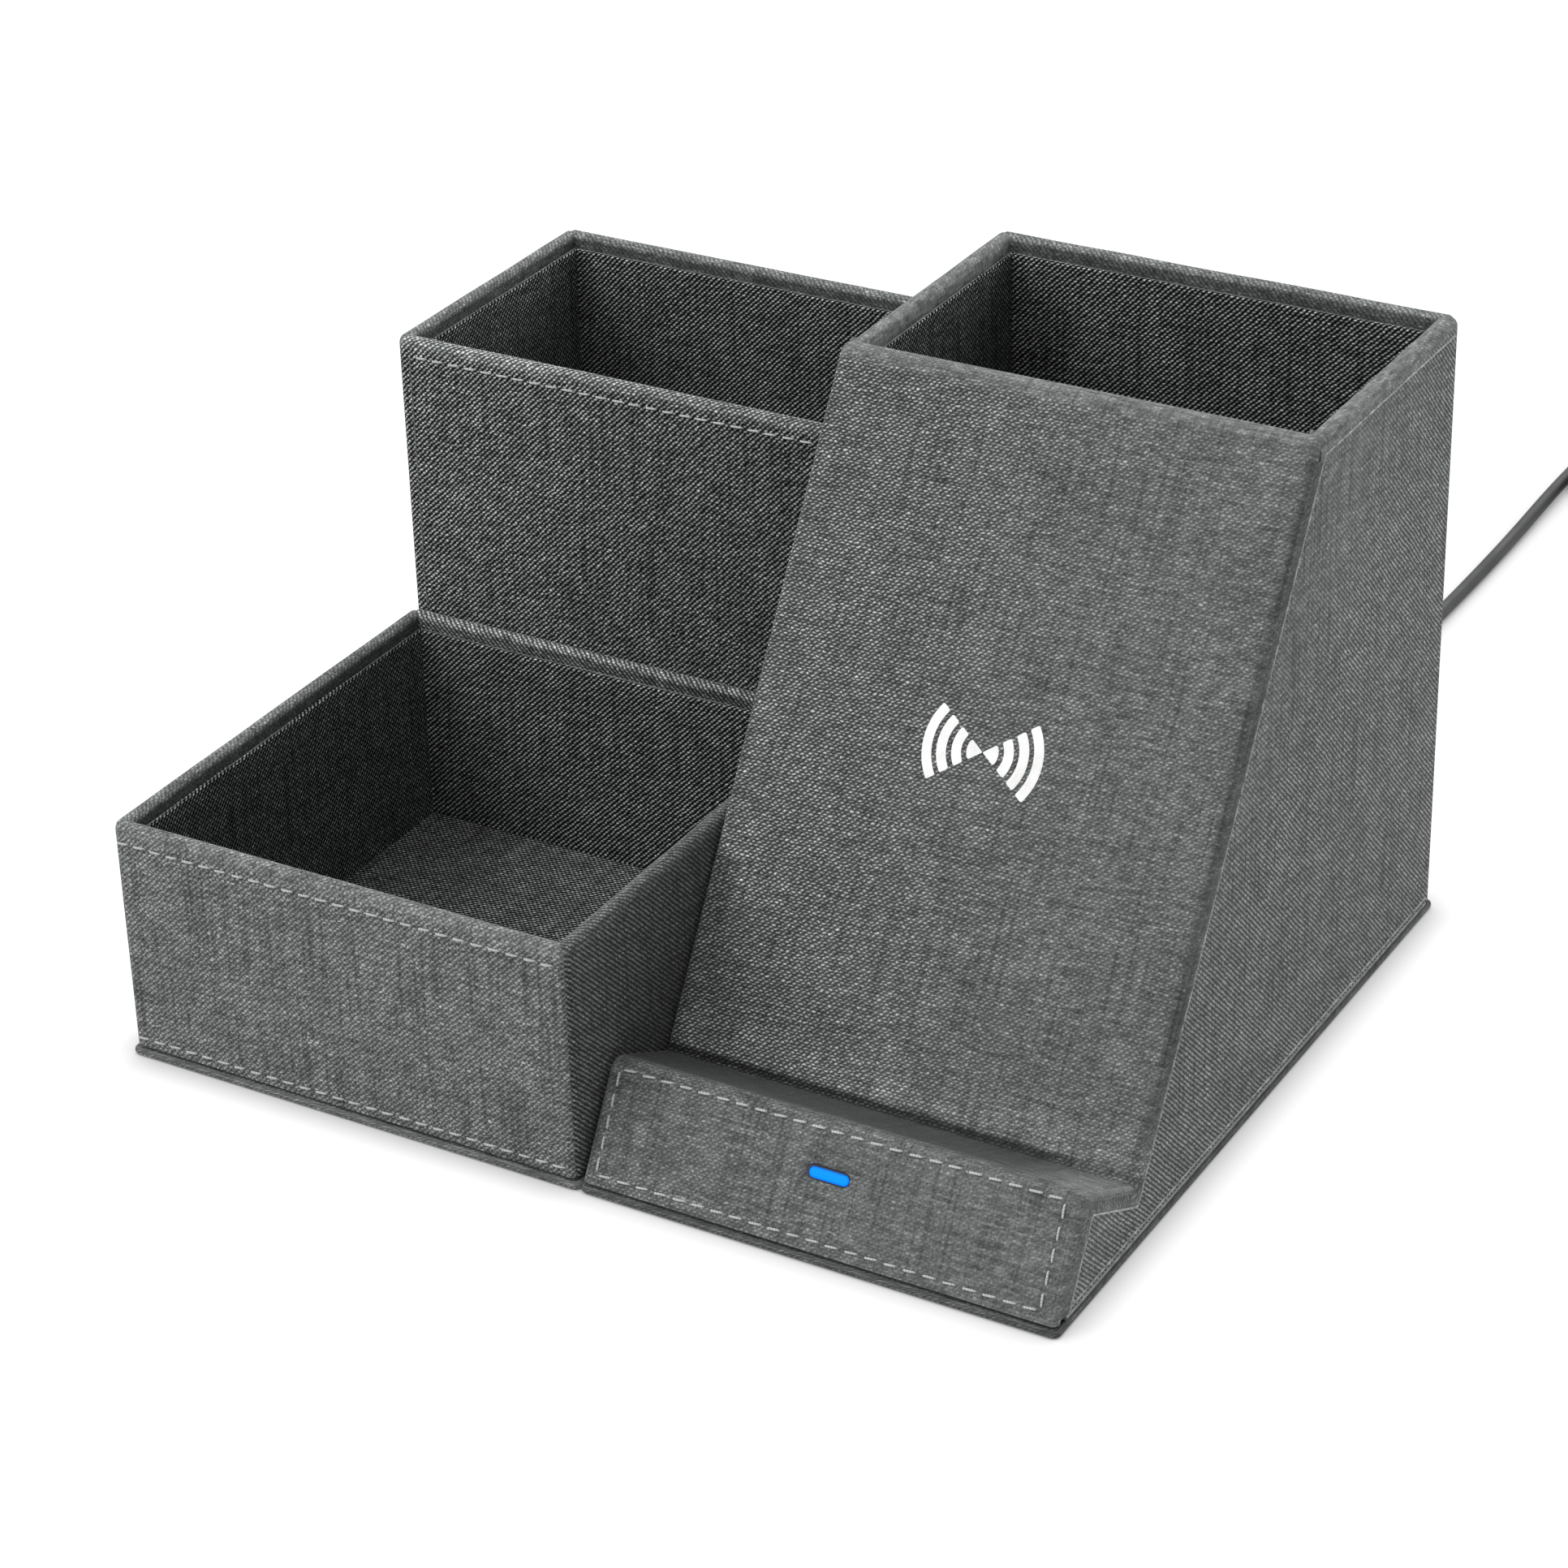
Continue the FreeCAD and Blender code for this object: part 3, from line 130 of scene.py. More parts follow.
class Wiring:
    """The shader nodes of a material or a world, and short ways to add and join them."""

    def __init__(self, owner):
        owner.use_nodes = True
        self.owner, self.tree = owner, owner.node_tree
        self.shader = self.tree.nodes.get("Principled BSDF")

    def fill(self, socket, value):
        """Join a socket to another, or set its value."""
        if isinstance(value, bpy.types.NodeSocket):
            self.tree.links.new(value, socket)
        else:
            socket.default_value = (*value, 1.0) if socket.type == "RGBA" else value

    def add(self, kind, inputs=(), output=0, **settings):
        """An output of a new node, which has inputs by name or number and settings."""
        node = self.tree.nodes.new("ShaderNode" + kind)
        for name, value in settings.items():
            setattr(node, name, value)
        for key, value in dict(inputs).items():
            self.fill(node.inputs[key], value)
        return node.outputs[output]

    def cloth(self):
        """The place on the cloth, in millimetres."""
        return self.add("UVMap", uv_map="weave")

    def place(self):
        """The place on the object, in metres."""
        return self.add("TexCoord", output="Object")

    def parts(self, vector):
        return self.add("SeparateXYZ", {0: vector}).node.outputs

    def math(self, operation, *values):
        return self.add("Math", enumerate(values), operation=operation)

    def times(self, value, factor):
        return self.math("MULTIPLY", value, factor)

    def vector(self, operation, *values, output=0):
        return self.add("VectorMath", enumerate(values), output, operation=operation)

    def blend(self, factor, first, second):
        """From first to second as factor runs from 0 to 1, for numbers."""
        return self.add("Mix", {"Factor": factor, 2: first, 3: second})

    def tint(self, factor, first, second):
        """The same for colours."""
        return self.add("Mix", {"Factor": factor, 6: first, 7: second}, 2, data_type="RGBA")

    def shade(self, colour, factor):
        return self.add("VectorMath", {0: colour, "Scale": factor}, operation="SCALE")

    def noise(self, vector, scale=1.0, detail=2.0, output=0):
        return self.add("TexNoise", {"Vector": vector, "Scale": scale, "Detail": detail}, output)

    def between(self, value, low, high):
        return self.math("MULTIPLY_ADD", value, high - low, low)

    def map_range(self, value, start, end, low, high, **settings):
        inputs = {"Value": value, "From Min": start, "From Max": end, "To Min": low, "To Max": high}
        return self.add("MapRange", inputs, **settings)

    def spread(self, value, low, high):
        """A noise value, which stays near a half, stretched from low to high."""
        return self.map_range(value, NOISE_LOW, NOISE_HIGH, low, high)

    def ramp(self, value, start, end, low=0.0, high=1.0):
        """low up to start, high from end on and an easy change between."""
        return self.map_range(value, start, end, low, high, interpolation_type="SMOOTHSTEP")

    def stretched(self, x, y, x_scale, y_scale):
        """A flat vector of two numbers, each at its own scale."""
        return self.add("CombineXYZ", {0: self.times(x, x_scale), 1: self.times(y, y_scale)})

    def along(self, vector, way):
        """How far a flat vector reaches along a way."""
        return self.vector("DOT_PRODUCT", vector, (*way, 0.0), output="Value")

    def wave(self, value):
        """A rounded hump in each step of 1."""
        return self.math("SINE", self.times(self.math("FRACT", value), pi))

    def bump(self, relief, strength, height):
        inputs = {"Height": relief, "Strength": strength, "Distance": height * MM}
        self.fill(self.shader.inputs["Normal"], self.add("Bump", inputs))

    def finish(self, colour, roughness, others=()):
        sockets = {"Base Color": colour, "Roughness": roughness, **dict(others)}
        for name, value in sockets.items():
            self.fill(self.shader.inputs[name], value)
        return self.owner

    def shown_only(self, lit, shown, output):
        """End in two shaders: shown to the camera, in gloss and glass, and lit for other rays."""
        path = self.add("LightPath").node.outputs
        seen = path["Is Camera Ray"]
        for name in ("Is Glossy Ray", "Is Transmission Ray"):
            seen = self.math("MAXIMUM", seen, path[name])
        mix = self.add("MixShader", {0: seen, 1: lit, 2: shown})
        self.fill(self.tree.nodes[output].inputs["Surface"], mix)


def new_material(name):
    return Wiring(bpy.data.materials.new(name))


def grey(level):
    """The cloth's neutral grey, a touch green."""
    return tuple(level * part for part in TINGE)


# A soft-edged strip of the cloth: the way across it, where it starts and is full, its tone, how far it
# is worn smooth, where it ends and is over, and a limit as a way, a start and where it is full
Band = namedtuple("Band", "way start full tone wear end over limit", defaults=[1.0, 0.0, None, None, None])
ALONG, BACK, UP = (1.0, 0.0), (-1.0, 0.0), (0.0, 1.0)

# How dashes lean, how far rows part, how dashes stand out, the share of weft that shows where it is
# worn smooth, and how far yarns wander
Weave = namedtuple("Weave", "slant gap crispness depth worn wander", defaults=[0.0, EVEN])


def yarn_cells(w, cloth, wander):
    """The place on the cloth counted in yarns, across and up, as they wander."""
    slow = w.noise(cloth, scale=0.08, detail=1.0, output="Color")
    quick = w.noise(cloth, scale=0.9, detail=1.0, output="Color")
    drift = w.vector("MULTIPLY_ADD", quick, (wander, wander, 0.0), slow)
    return w.parts(w.vector("MULTIPLY_ADD", cloth, (1 / YARN_PITCH,) * 3, drift))[:2]


def dashes(w, across, up, weave):
    """How much weft shows, with the numbers of its dash and row."""
    row, within = w.math("FLOOR", up), w.math("FRACT", up)
    lean = w.between(within, -weave.slant / 2, weave.slant / 2)
    turn = w.math("ADD", w.math("ADD", across, row), lean)
    lift = w.wave(up)
    cosine = w.math("COSINE", w.times(turn, pi))
    swing = w.times(cosine, w.math("POWER", lift, DASH_TAPER))
    dash = w.math("MULTIPLY_ADD", swing, weave.depth / 2, 1 - weave.depth / 2)
    height = w.times(dash, w.math("POWER", lift, weave.gap))
    number = w.math("FLOOR", w.between(turn, 0.5, 1.0))
    return w.math("POWER", height, weave.crispness), number, row


def heather(w, cloth, across, up, slubs):
    """The cloth's uneven tone: slubs both ways, broad patches and fine fibre."""
    warp = w.noise(w.stretched(across, up, x_scale=0.75, y_scale=0.02))
    weft = w.noise(w.stretched(across, up, x_scale=0.025, y_scale=0.75))
    slub = w.times(w.ramp(warp, *WARP_EDGES, *slubs), w.ramp(weft, *WEFT_EDGES, *CROSS_SLUBS))
    patch = w.spread(w.noise(cloth, scale=0.07, detail=3.0), *PATCH_TONES)
    fibre = w.spread(w.noise(cloth, scale=2.2, detail=3.0), *YARN_TONES)
    return w.times(slub, w.times(patch, fibre))


def band_share(w, cloth, band):
    """How far a band covers each place, from 0 to 1."""
    place = w.along(cloth, band.way)
    share = w.ramp(place, band.start, band.full)
    if band.end is not None:
        share = w.math("MINIMUM", share, w.ramp(place, band.end, band.over, 1.0, 0.0))
    if band.limit:
        way, *edges = band.limit
        share = w.math("MINIMUM", share, w.ramp(w.along(cloth, way), *edges))
    return share


def woven(name, light, dark, weave, slubs=SLUBS, bands=(), lustre=LUSTRE):
    """Heathered plain weave: light dashes over dark yarn, each yarn with its own tone."""
    w = new_material(name)
    cloth = w.cloth()
    across, up = yarn_cells(w, cloth, weave.wander)
    thread, number, row = dashes(w, across, up, weave)
    tone = heather(w, cloth, across, up, slubs)
    for band in bands:
        share = band_share(w, cloth, band)
        thread = w.blend(w.times(share, band.wear), thread, weave.worn)
        tone = w.times(tone, w.between(share, 1.0, band.tone))

    warp = w.noise(w.stretched(w.math("FLOOR", across), up, x_scale=3.7, y_scale=0.11))
    weft = w.noise(w.stretched(across, row, x_scale=0.13, y_scale=3.7))
    cell = w.add("CombineXYZ", {0: number, 1: row})
    chance = w.add("TexWhiteNoise", {"Vector": cell}, noise_dimensions="2D")
    dash_tone = w.times(w.between(chance, *DASH_TONES), w.spread(weft, *YARN_TONES))
    under = w.shade(grey(dark), w.spread(warp, *YARN_TONES))
    colour = w.shade(w.tint(thread, under, w.shade(grey(light), dash_tone)), tone)
    w.bump(thread, strength=0.5, height=0.14)
    nap = {"Sheen Weight": 0.1 * lustre, "Sheen Roughness": 0.45, "Specular IOR Level": 0.2 * lustre}
    return w.finish(w.vector("MINIMUM", colour, (BRIGHTEST_YARN,) * 3), roughness=0.92, others=nap)


def mottled(name, colour, roughness, grain=0.4, contrast=0.18, relief=0.03, metal=0.0):
    """A moulded, printed or plated surface: fine grain in colour, gloss and relief."""
    w = new_material(name)
    place = w.place()
    fine = w.noise(place, 1 / (grain * MM), detail=4.0)
    broad = w.noise(place, BROAD_SHARE / (grain * MM))
    tone = w.times(w.spread(fine, 1 - contrast, 1 + contrast), w.spread(broad, *PATCH_TONES))
    w.bump(fine, strength=0.5, height=relief)
    rough = w.spread(broad, roughness - GLOSS_SPREAD, roughness + GLOSS_SPREAD)
    return w.finish(w.shade(colour, tone), rough, {"Metallic": metal})


def twisted(name, colour, pitch=0.54, uneven=(0.9, 1.1)):
    """Thread or folded cloth: slanting plies, uneven in tone."""
    w = new_material(name)
    parts = w.parts(w.cloth())
    ply = w.wave(w.math("ADD", w.math("DIVIDE", parts[0], pitch), parts[1]))
    w.bump(ply, strength=0.6, height=0.08)
    fuzz = w.spread(w.noise(w.place(), scale=0.7 / MM, detail=3.0), *uneven)
    # Darker in the grooves between plies: painted shade
    tone = w.times(w.between(ply, low=0.6, high=1.05), fuzz)
    return w.finish(w.shade(colour, tone), roughness=0.8, others={"Sheen Weight": 0.2})


def glowing(name, colour, deep, unlit, falloff):
    """A lit lens, deeper towards its rim."""
    w = new_material(name)
    shine = w.tint(w.math("POWER", w.parts(w.cloth())[1], falloff), colour, deep)
    lit = {"Emission Color": shine, "Emission Strength": 1.0, "Specular IOR Level": 0.1}
    return w.finish(unlit, roughness=0.6, others=lit)


def ringed(name, colour, centre, pitch):
    """Enamelled wire wound in a flat spiral about a centre."""
    w = new_material(name)
    away = w.vector("DISTANCE", w.place(), centre, output="Value")
    turn = w.wave(w.math("DIVIDE", away, pitch * MM))
    w.bump(turn, strength=0.8, height=0.2)
    # Darker between the turns: painted shade in the grooves
    tone = w.between(turn, low=0.4, high=1.0)
    return w.finish(w.shade(colour, tone), roughness=0.35, others={"Metallic": 0.8})


def circuit(name, colour, trace):
    """Solder mask over copper traces."""
    w = new_material(name)
    place = w.place()
    lanes = w.add("TexBrick", {"Vector": place, "Scale": 380.0, "Mortar Size": 0.02}, "Fac")
    w.bump(lanes, strength=0.4, height=0.05)
    speck = w.spread(w.noise(place, scale=900.0), low=0.9, high=1.1)
    return w.finish(w.shade(w.tint(lanes, colour, trace), speck), roughness=0.35)


# Strips on walls, whose cloth is measured up from the rim
# Tower rims: worn smooth, and lighter as a painted highlight where they face up
WORN_RIM_PAINTED_LIGHT = Band(UP, -3.6, -1.6, tone=1.12, wear=0.75)
# Box rims: slightly worn, and lighter as a painted highlight where they face up
WOVEN_RIM_PAINTED_LIGHT = Band(UP, -3.2, -1.6, tone=1.15, wear=0.3)
# Rims of the shaded copy: a strong painted highlight where they face up, and slight wear
PALE_RIM_PAINTED_LIGHT = Band(UP, -3.2, -0.8, tone=1.6, wear=0.25)
# Painted shadow on the wall's inner face just below the rim, in the gap above the lining
INNER_FACE_PAINTED_SHADOW = Band(UP, 2.4, 3.4, tone=0.45)
# Painted shade, darkening the wall along its length towards the tower
PAINTED_TOWER_SHADE = Band(ALONG, -60.0, 40.0, tone=0.66)
TOP_WEAR = Band((0.8, 1.0), -88.0, -23.0, wear=0.75)
BOX_RIM = [WOVEN_RIM_PAINTED_LIGHT, INNER_FACE_PAINTED_SHADOW]

# Strips on the tower's front, whose cloth is measured up from its foot
LEDGE_SHADE = Band(
    UP, LEDGE_START - 0.5, LEDGE_START + 4, tone=0.24, end=LEDGE_END - 0.5, over=LEDGE_END + 1,
    limit=(BACK, 4.0 - TURNED_IN, 22.0 - TURNED_IN),
)
# Painted light at the foot of the slope, lifting the shade of the fold
FOLD_PAINTED_LIGHT = Band(UP, LEDGE_END, LEDGE_END + 1, tone=1.4, end=LEDGE_END + 3, over=LEDGE_END + 12)
LIP_WEAR = Band(UP, -2.0, -1.0, wear=0.65, end=LEDGE_START - 1, over=LEDGE_END)
# The crest worn smooth, and lighter as a painted highlight where it faces up
CREST_WEAR_PAINTED_LIGHT = Band(UP, SLOPE_END - 5, SLOPE_END - 2, tone=1.2, wear=0.75)
RIGHT_WEAR = Band(ALONG, 15.0, 90.0, wear=0.6)
# Painted shade on the strip where the cloth turns in at the right, above the ledge, also worn smooth
RIGHT_EDGE_PAINTED_SHADE = Band(
    ALONG, TURNED_IN - 3, TURNED_IN - 0.8, tone=0.72, wear=0.5, limit=(UP, LEDGE_END + 2, LEDGE_END + 8)
)

COVER_WEAVE = Weave(slant=-0.65, gap=0.3, crispness=1.2, depth=0.86, worn=0.4253, wander=LOOSE)
SHADED_WEAVE = Weave(slant=-1.0, gap=0.12, crispness=1.9, depth=0.97, worn=0.3084)
CRISP_WEAVE = Weave(slant=-0.8, gap=0.25, crispness=2.3, depth=1.0, worn=0.2289, wander=1.1)
LINING_WEAVE = Weave(slant=-0.85, gap=0.25, crispness=2.8, depth=1.0)
BASE_WEAVE = Weave(slant=-0.75, gap=0.4, crispness=1.0, depth=0.7)
SOFT_WEAVE = Weave(slant=-0.9, gap=0.7, crispness=1.9, depth=0.85, worn=0.2401, wander=1.3)
SIDE_WEAVE = Weave(slant=-0.95, gap=0.15, crispness=1.6, depth=0.95, worn=0.3497)

GREY = woven("heathered_cover", 0.318, 0.02, COVER_WEAVE, bands=BOX_RIM)
SHADED = woven("heathered_shaded_cover", 0.31, 0.004, SHADED_WEAVE, bands=BOX_RIM)
# A darker copy of the cover with a crisper weave: painted shade for walls in the shadow of other parts
SHADED_CRISP = woven(
    "heathered_shaded_crisp_cover", 0.65, 0.001, CRISP_WEAVE, lustre=DULL,
    bands=[PALE_RIM_PAINTED_LIGHT, INNER_FACE_PAINTED_SHADOW, PAINTED_TOWER_SHADE],
)
LINING = woven("heathered_lining", 0.61, 0.001, LINING_WEAVE, lustre=DULL)
# A darker copy of the lining, as painted shade
SHADED_LINING = woven("heathered_shaded_lining", 0.46, 0.001, LINING_WEAVE, lustre=DULL)
BASE = woven("heathered_base", 0.25, 0.03, BASE_WEAVE, FAINT_SLUBS)
DARK_BASE = woven("heathered_dark_base", 0.17, 0.02, BASE_WEAVE, FAINT_SLUBS)
SOFT = woven(
    "heathered_soft_cover", 0.468, 0.024, SOFT_WEAVE, FAINT_SLUBS,
    bands=[LEDGE_SHADE, FOLD_PAINTED_LIGHT, LIP_WEAR, CREST_WEAR_PAINTED_LIGHT, RIGHT_WEAR, RIGHT_EDGE_PAINTED_SHADE],
)
SIDE = woven("heathered_side_cover", 0.385, 0.01, SIDE_WEAVE, bands=[WORN_RIM_PAINTED_LIGHT, TOP_WEAR])

THREAD = twisted("pale_thread", (0.54, 0.55, 0.54), pitch=0.5)
SEAM = twisted("folded_edge", (0.42, 0.435, 0.43), uneven=(0.35, 1.5))
ROLLED = twisted("rolled_edge", grey(0.26), uneven=(0.6, 1.4))
LEDGE_EDGE = twisted("ledge_edge", grey(0.13), uneven=(0.6, 1.4))
LINER_EDGE = twisted("liner_edge", grey(0.15), uneven=(0.3, 1.5))
# Near-black cloth as painted shadow in the neck above a base
PAINTED_GAP_SHADOW = twisted("painted_gap_shadow", (0.05, 0.052, 0.052))

PRINT = mottled("white_print", (0.92, 0.92, 0.91), 0.7, grain=0.35, contrast=0.05, relief=0.04)
LIT = glowing("lit_lens", (0.0, 0.33, 1.0), deep=(0.0, 0.1, 0.75), unlit=(0.0, 0.02, 0.06), falloff=5.0)
BLACK = mottled("black_plastic", (0.018, 0.018, 0.019), 0.5)
SLOT_EDGE = mottled("slot_edge", (0.006, 0.012, 0.04), 0.6)
JACKET = mottled("cable_jacket", (0.015, 0.016, 0.016), 0.55, grain=0.6, contrast=0.12)
GRIP = mottled("plug_grip", (0.03, 0.031, 0.033), 0.5, grain=0.3)
STEEL = mottled("plated_steel", (0.42, 0.42, 0.43), 0.35, grain=0.25, contrast=0.06, metal=1.0)
BRASS = mottled("plain_brass", (0.7, 0.52, 0.24), 0.3, grain=0.25, contrast=0.06, metal=1.0)
FERRITE = mottled("ferrite", (0.05, 0.05, 0.055), 0.7, grain=0.3, contrast=0.25)
ADHESIVE = mottled("adhesive_pad", (0.6, 0.58, 0.5), 0.8, grain=0.5)
CHIP_WHITE = mottled("led_package", (0.85, 0.83, 0.7), 0.4)
CONTACTS = mottled("white_contact_block", (0.78, 0.78, 0.77), 0.5)
WIRE = mottled("red_insulation", (0.42, 0.02, 0.02), 0.45)
COMPONENT = mottled("black_component", (0.025, 0.025, 0.026), 0.55, grain=0.2)
BOARD = circuit("solder_mask", (0.02, 0.14, 0.06), (0.05, 0.24, 0.1))
COIL_MIDDLE = sum(span("transmitter_coil"), Vector((0, 0, 0))) / 2 * MM
WINDINGS = ringed("copper_windings", (0.75, 0.36, 0.18), COIL_MIDDLE, pitch=0.55)


def dress(piece, material, nodes=(), body=BODY):
    """Give a piece its finish and its body, and hide the CAD nodes that it stands for."""
    piece.data.materials.append(material)
    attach(piece, body)
    if nodes:
        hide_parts(*nodes)


def add_object(name, data):
    piece = bpy.data.objects.new(name, data)
    bpy.context.scene.collection.objects.link(piece)
    return piece


def new_mesh():
    """An empty mesh with room for cloth coordinates."""
    mesh = bmesh.new()
    mesh.loops.layers.uv.new("weave")
    return mesh


def add_tube(mesh, rings, cloth=None, capped=True):
    """Faces through rings of points, with a cloth coordinate for each point. Gives the end faces.

    Each ring's cloth has one entry more than its points, for the seam where the ring closes."""
    weave = mesh.loops.layers.uv["weave"]
    verts = [[mesh.verts.new(point * MM) for point in ring] for ring in rings]
    count = len(rings[0])
    for i in range(len(rings) - 1):
        for j in range(count):
            k = (j + 1) % count
            face = mesh.faces.new((verts[i][j], verts[i + 1][j], verts[i + 1][k], verts[i][k]))
            if cloth:
                spots = (cloth[i][j], cloth[i + 1][j], cloth[i + 1][j + 1], cloth[i][j + 1])
                for loop, spot in zip(face.loops, spots):
                    loop[weave].uv = spot
    return [mesh.faces.new(ring) for ring in (verts[0], verts[-1])] if capped else []


def lay_cloth(mesh, face, first, second):
    """Cloth coordinates for a face from two axes."""
    weave = mesh.loops.layers.uv["weave"]
    for loop in face.loops:
        loop[weave].uv = (loop.vert.co[first] / MM, loop.vert.co[second] / MM)


def write_mesh(name, mesh, smooth_below):
    """Clean a bmesh and store it as an object, smooth except over sharp edges."""
    bmesh.ops.remove_doubles(mesh, verts=mesh.verts, dist=0.004 * MM)
    bmesh.ops.dissolve_degenerate(mesh, edges=mesh.edges, dist=0.002 * MM)
    bmesh.ops.recalc_face_normals(mesh, faces=mesh.faces)
    data = bpy.data.meshes.new(name)
    mesh.to_mesh(data)
    mesh.free()
    data.shade_smooth()
    data.set_sharp_from_angle(angle=radians(smooth_below))
    return add_object(name, data)


def loft(name, rings, cloth, smooth_below=35.0, capped=True):
    """A solid through rings of points, which without end faces closes on itself."""
    mesh = new_mesh()
    for cap in add_tube(mesh, rings, cloth, capped):
        cap.normal_update()
        side = max(range(3), key=lambda axis: abs(cap.normal[axis]))
        lay_cloth(mesh, cap, *[axis for axis in range(3) if axis != side])
    return write_mesh(name, mesh, smooth_below)


def cut_out(piece, cutter):
    """Take a cutter's volume out of a piece."""
    cut = piece.modifiers.new("cut", "BOOLEAN")
    cut.operation = "DIFFERENCE"
    cut.solver = "EXACT"
    cut.object = cutter
    graph = bpy.context.evaluated_depsgraph_get()
    data = bpy.data.meshes.new_from_object(piece.evaluated_get(graph))
    piece.modifiers.clear()
    piece.data = data
    bpy.data.objects.remove(cutter)


def lengths(points):
    """Distance along a row of points, from the first to each."""
    total = [0.0]
    for before, after in zip(points, points[1:]):
        total.append(total[-1] + (after - before).length)
    return total


def turns(angle, steps):
    """Even steps from 0 to an angle."""
    return [angle * k / steps for k in range(steps + 1)]


def shares(half):
    """Even steps from -1 to 1."""
    return [k / half - 1 for k in range(2 * half + 1)]


def rounded(corners, radii):
    """An open outline, each inner corner an arc of its radius."""
    outline = [corners[0]]
    for before, corner, after, radius in zip(corners, corners[1:], corners[2:], radii):
        back, on = (before - corner).normalized(), (after - corner).normalized()
        half = back.angle(on) / 2
        centre = corner + (back + on).normalized() * (radius / sin(half))
        begin, end = (corner + way * (radius / tan(half)) - centre for way in (back, on))
        turn = begin.angle(end)
        for share in turns(1.0, ARC_STEPS):
            arm = begin * sin((1 - share) * turn) + end * sin(share * turn)
            outline.append(centre + arm / sin(turn))
    return outline + [corners[-1]]


def split(points, longest):
    """The same outline with its long runs divided."""
    fine = [points[0]]
    for before, after in zip(points, points[1:]):
        count = max(1, ceil((after - before).length / longest))
        fine += [before.lerp(after, k / count) for k in range(1, count + 1)]
    return fine


def waver(*place):
    """A slight unevenness of hand-wrapped cloth."""
    return WAVER * noise.noise(Vector(place) / WAVER_LENGTH)


def corner_drop(turn, bend):
    """How far a rim dips round a corner, most on the outside."""
    return CORNER_DROP * (turn / CORNER_TURN) ** 2 * bend / CORNER_ROUND


def board_section(thick, low, high, rim):
    """An upright board's section, over a rounded top."""
    corners = [Vector(corner) for corner in ((0, low), (0, high), (thick, high), (thick, low))]
    return rounded(corners, (rim, rim))


# Where a wall stands: the middle of its outer face, the ways along and into it, and its length
Site = namedtuple("Site", "middle along inward length")
CLOTH_SHIFT = Vector((3, 7))


def wall(name, site, low, high, thick, rim, mitred=True):
    """An upright wrapped board with a rolled rim, whose mitred ends turn half of a rounded corner."""
    section = split(board_section(thick, low, high, rim), longest=6.0)
    runs = lengths(section + [section[0]])
    middle, along, inward, length = site
    corner = CORNER_ROUND if mitred else 0.0
    mirror = -1 if along.y else 1
    shift = middle.dot(CLOTH_SHIFT)
    stations = [(share, 0.0) for share in shares(half=12)]
    if mitred:
        bends = turns(CORNER_TURN, CORNER_STEPS)[1:]
        stations = [(-1, turn) for turn in reversed(bends)] + stations + [(1, turn) for turn in bends]
    rings, cloth = [], []
    for share, turn in stations:
        ring, spots = [], []
        for depth, height in section:
            bend = max(corner - depth, 0.0)
            reach = length / 2 - (max(depth, corner) if mitred else 0.0)
            place = share * (reach + bend * sin(turn))
            inset = depth + bend * (1 - cos(turn))
            if height > high - 2 * rim:
                height += waver(place, middle.x + middle.y, high) - corner_drop(turn, bend)
            ring.append((middle + along * place + inward * inset).to_3d() + Vector((0, 0, height)))
            spots.append(share * (reach + corner * turn * (bend > 0)))
        rings.append(ring)
        spots.append(spots[0])
        cloth.append([(mirror * spot + shift, run + low - high) for spot, run in zip(spots, runs)])
    return loft(name, rings, cloth)


def site_on(box, side):
    """Where a wall stands that closes a side of a box."""
    low, high = box
    middle, size = (low + high) / 2, high - low
    if side in ("front", "back"):
        y, inward = (low.y, Y) if side == "front" else (high.y, -Y)
        return Site(Vector((middle.x, y)), X, inward, size.x)
    x, inward = (low.x, X) if side == "left" else (high.x, -X)
    return Site(Vector((x, middle.y)), Y, inward, size.y)


def open_box(name, box, covers):
    """Four mitred walls, in the plain cover where a side is given no other."""
    for side in SIDES:
        piece = wall(f"{name}_{side}_cover", site_on(box, side), box[0].z, box[1].z, WALL_THICK, RIM_ROUND)
        dress(piece, covers.get(side, GREY), [f"{name}_{side}_panel"])


BEAD_RADIUS, BEAD_SUNK = 0.16, 0.08


def liner(node, cover=LINING):
    """A thin covered board inside a compartment, with a bead along its top."""
    low, high = span(node)
    size = high - low
    thick = min(size.x, size.y)
    site = site_on((low, high), "front" if size.x > size.y else "left")
    rim = min(LINER_ROUND, LINER_SHARE * thick)
    piece = wall(f"{node}_cover", site, low.z, high.z, thick, rim, mitred=False)
    edge = site.middle + site.inward * (thick / 2)
    spots = [edge + site.along * (site.length / 2 * share) for share in shares(half=10)]
    bead = [spot.to_3d() + Vector((0, 0, high.z - BEAD_SUNK)) for spot in spots]
    ridge(f"{node}_top_edge", bead, BEAD_RADIUS, LINER_EDGE)
    dress(piece, cover, [node])


QUARTERS = ((1, 1), (-1, 1), (-1, -1), (1, -1))


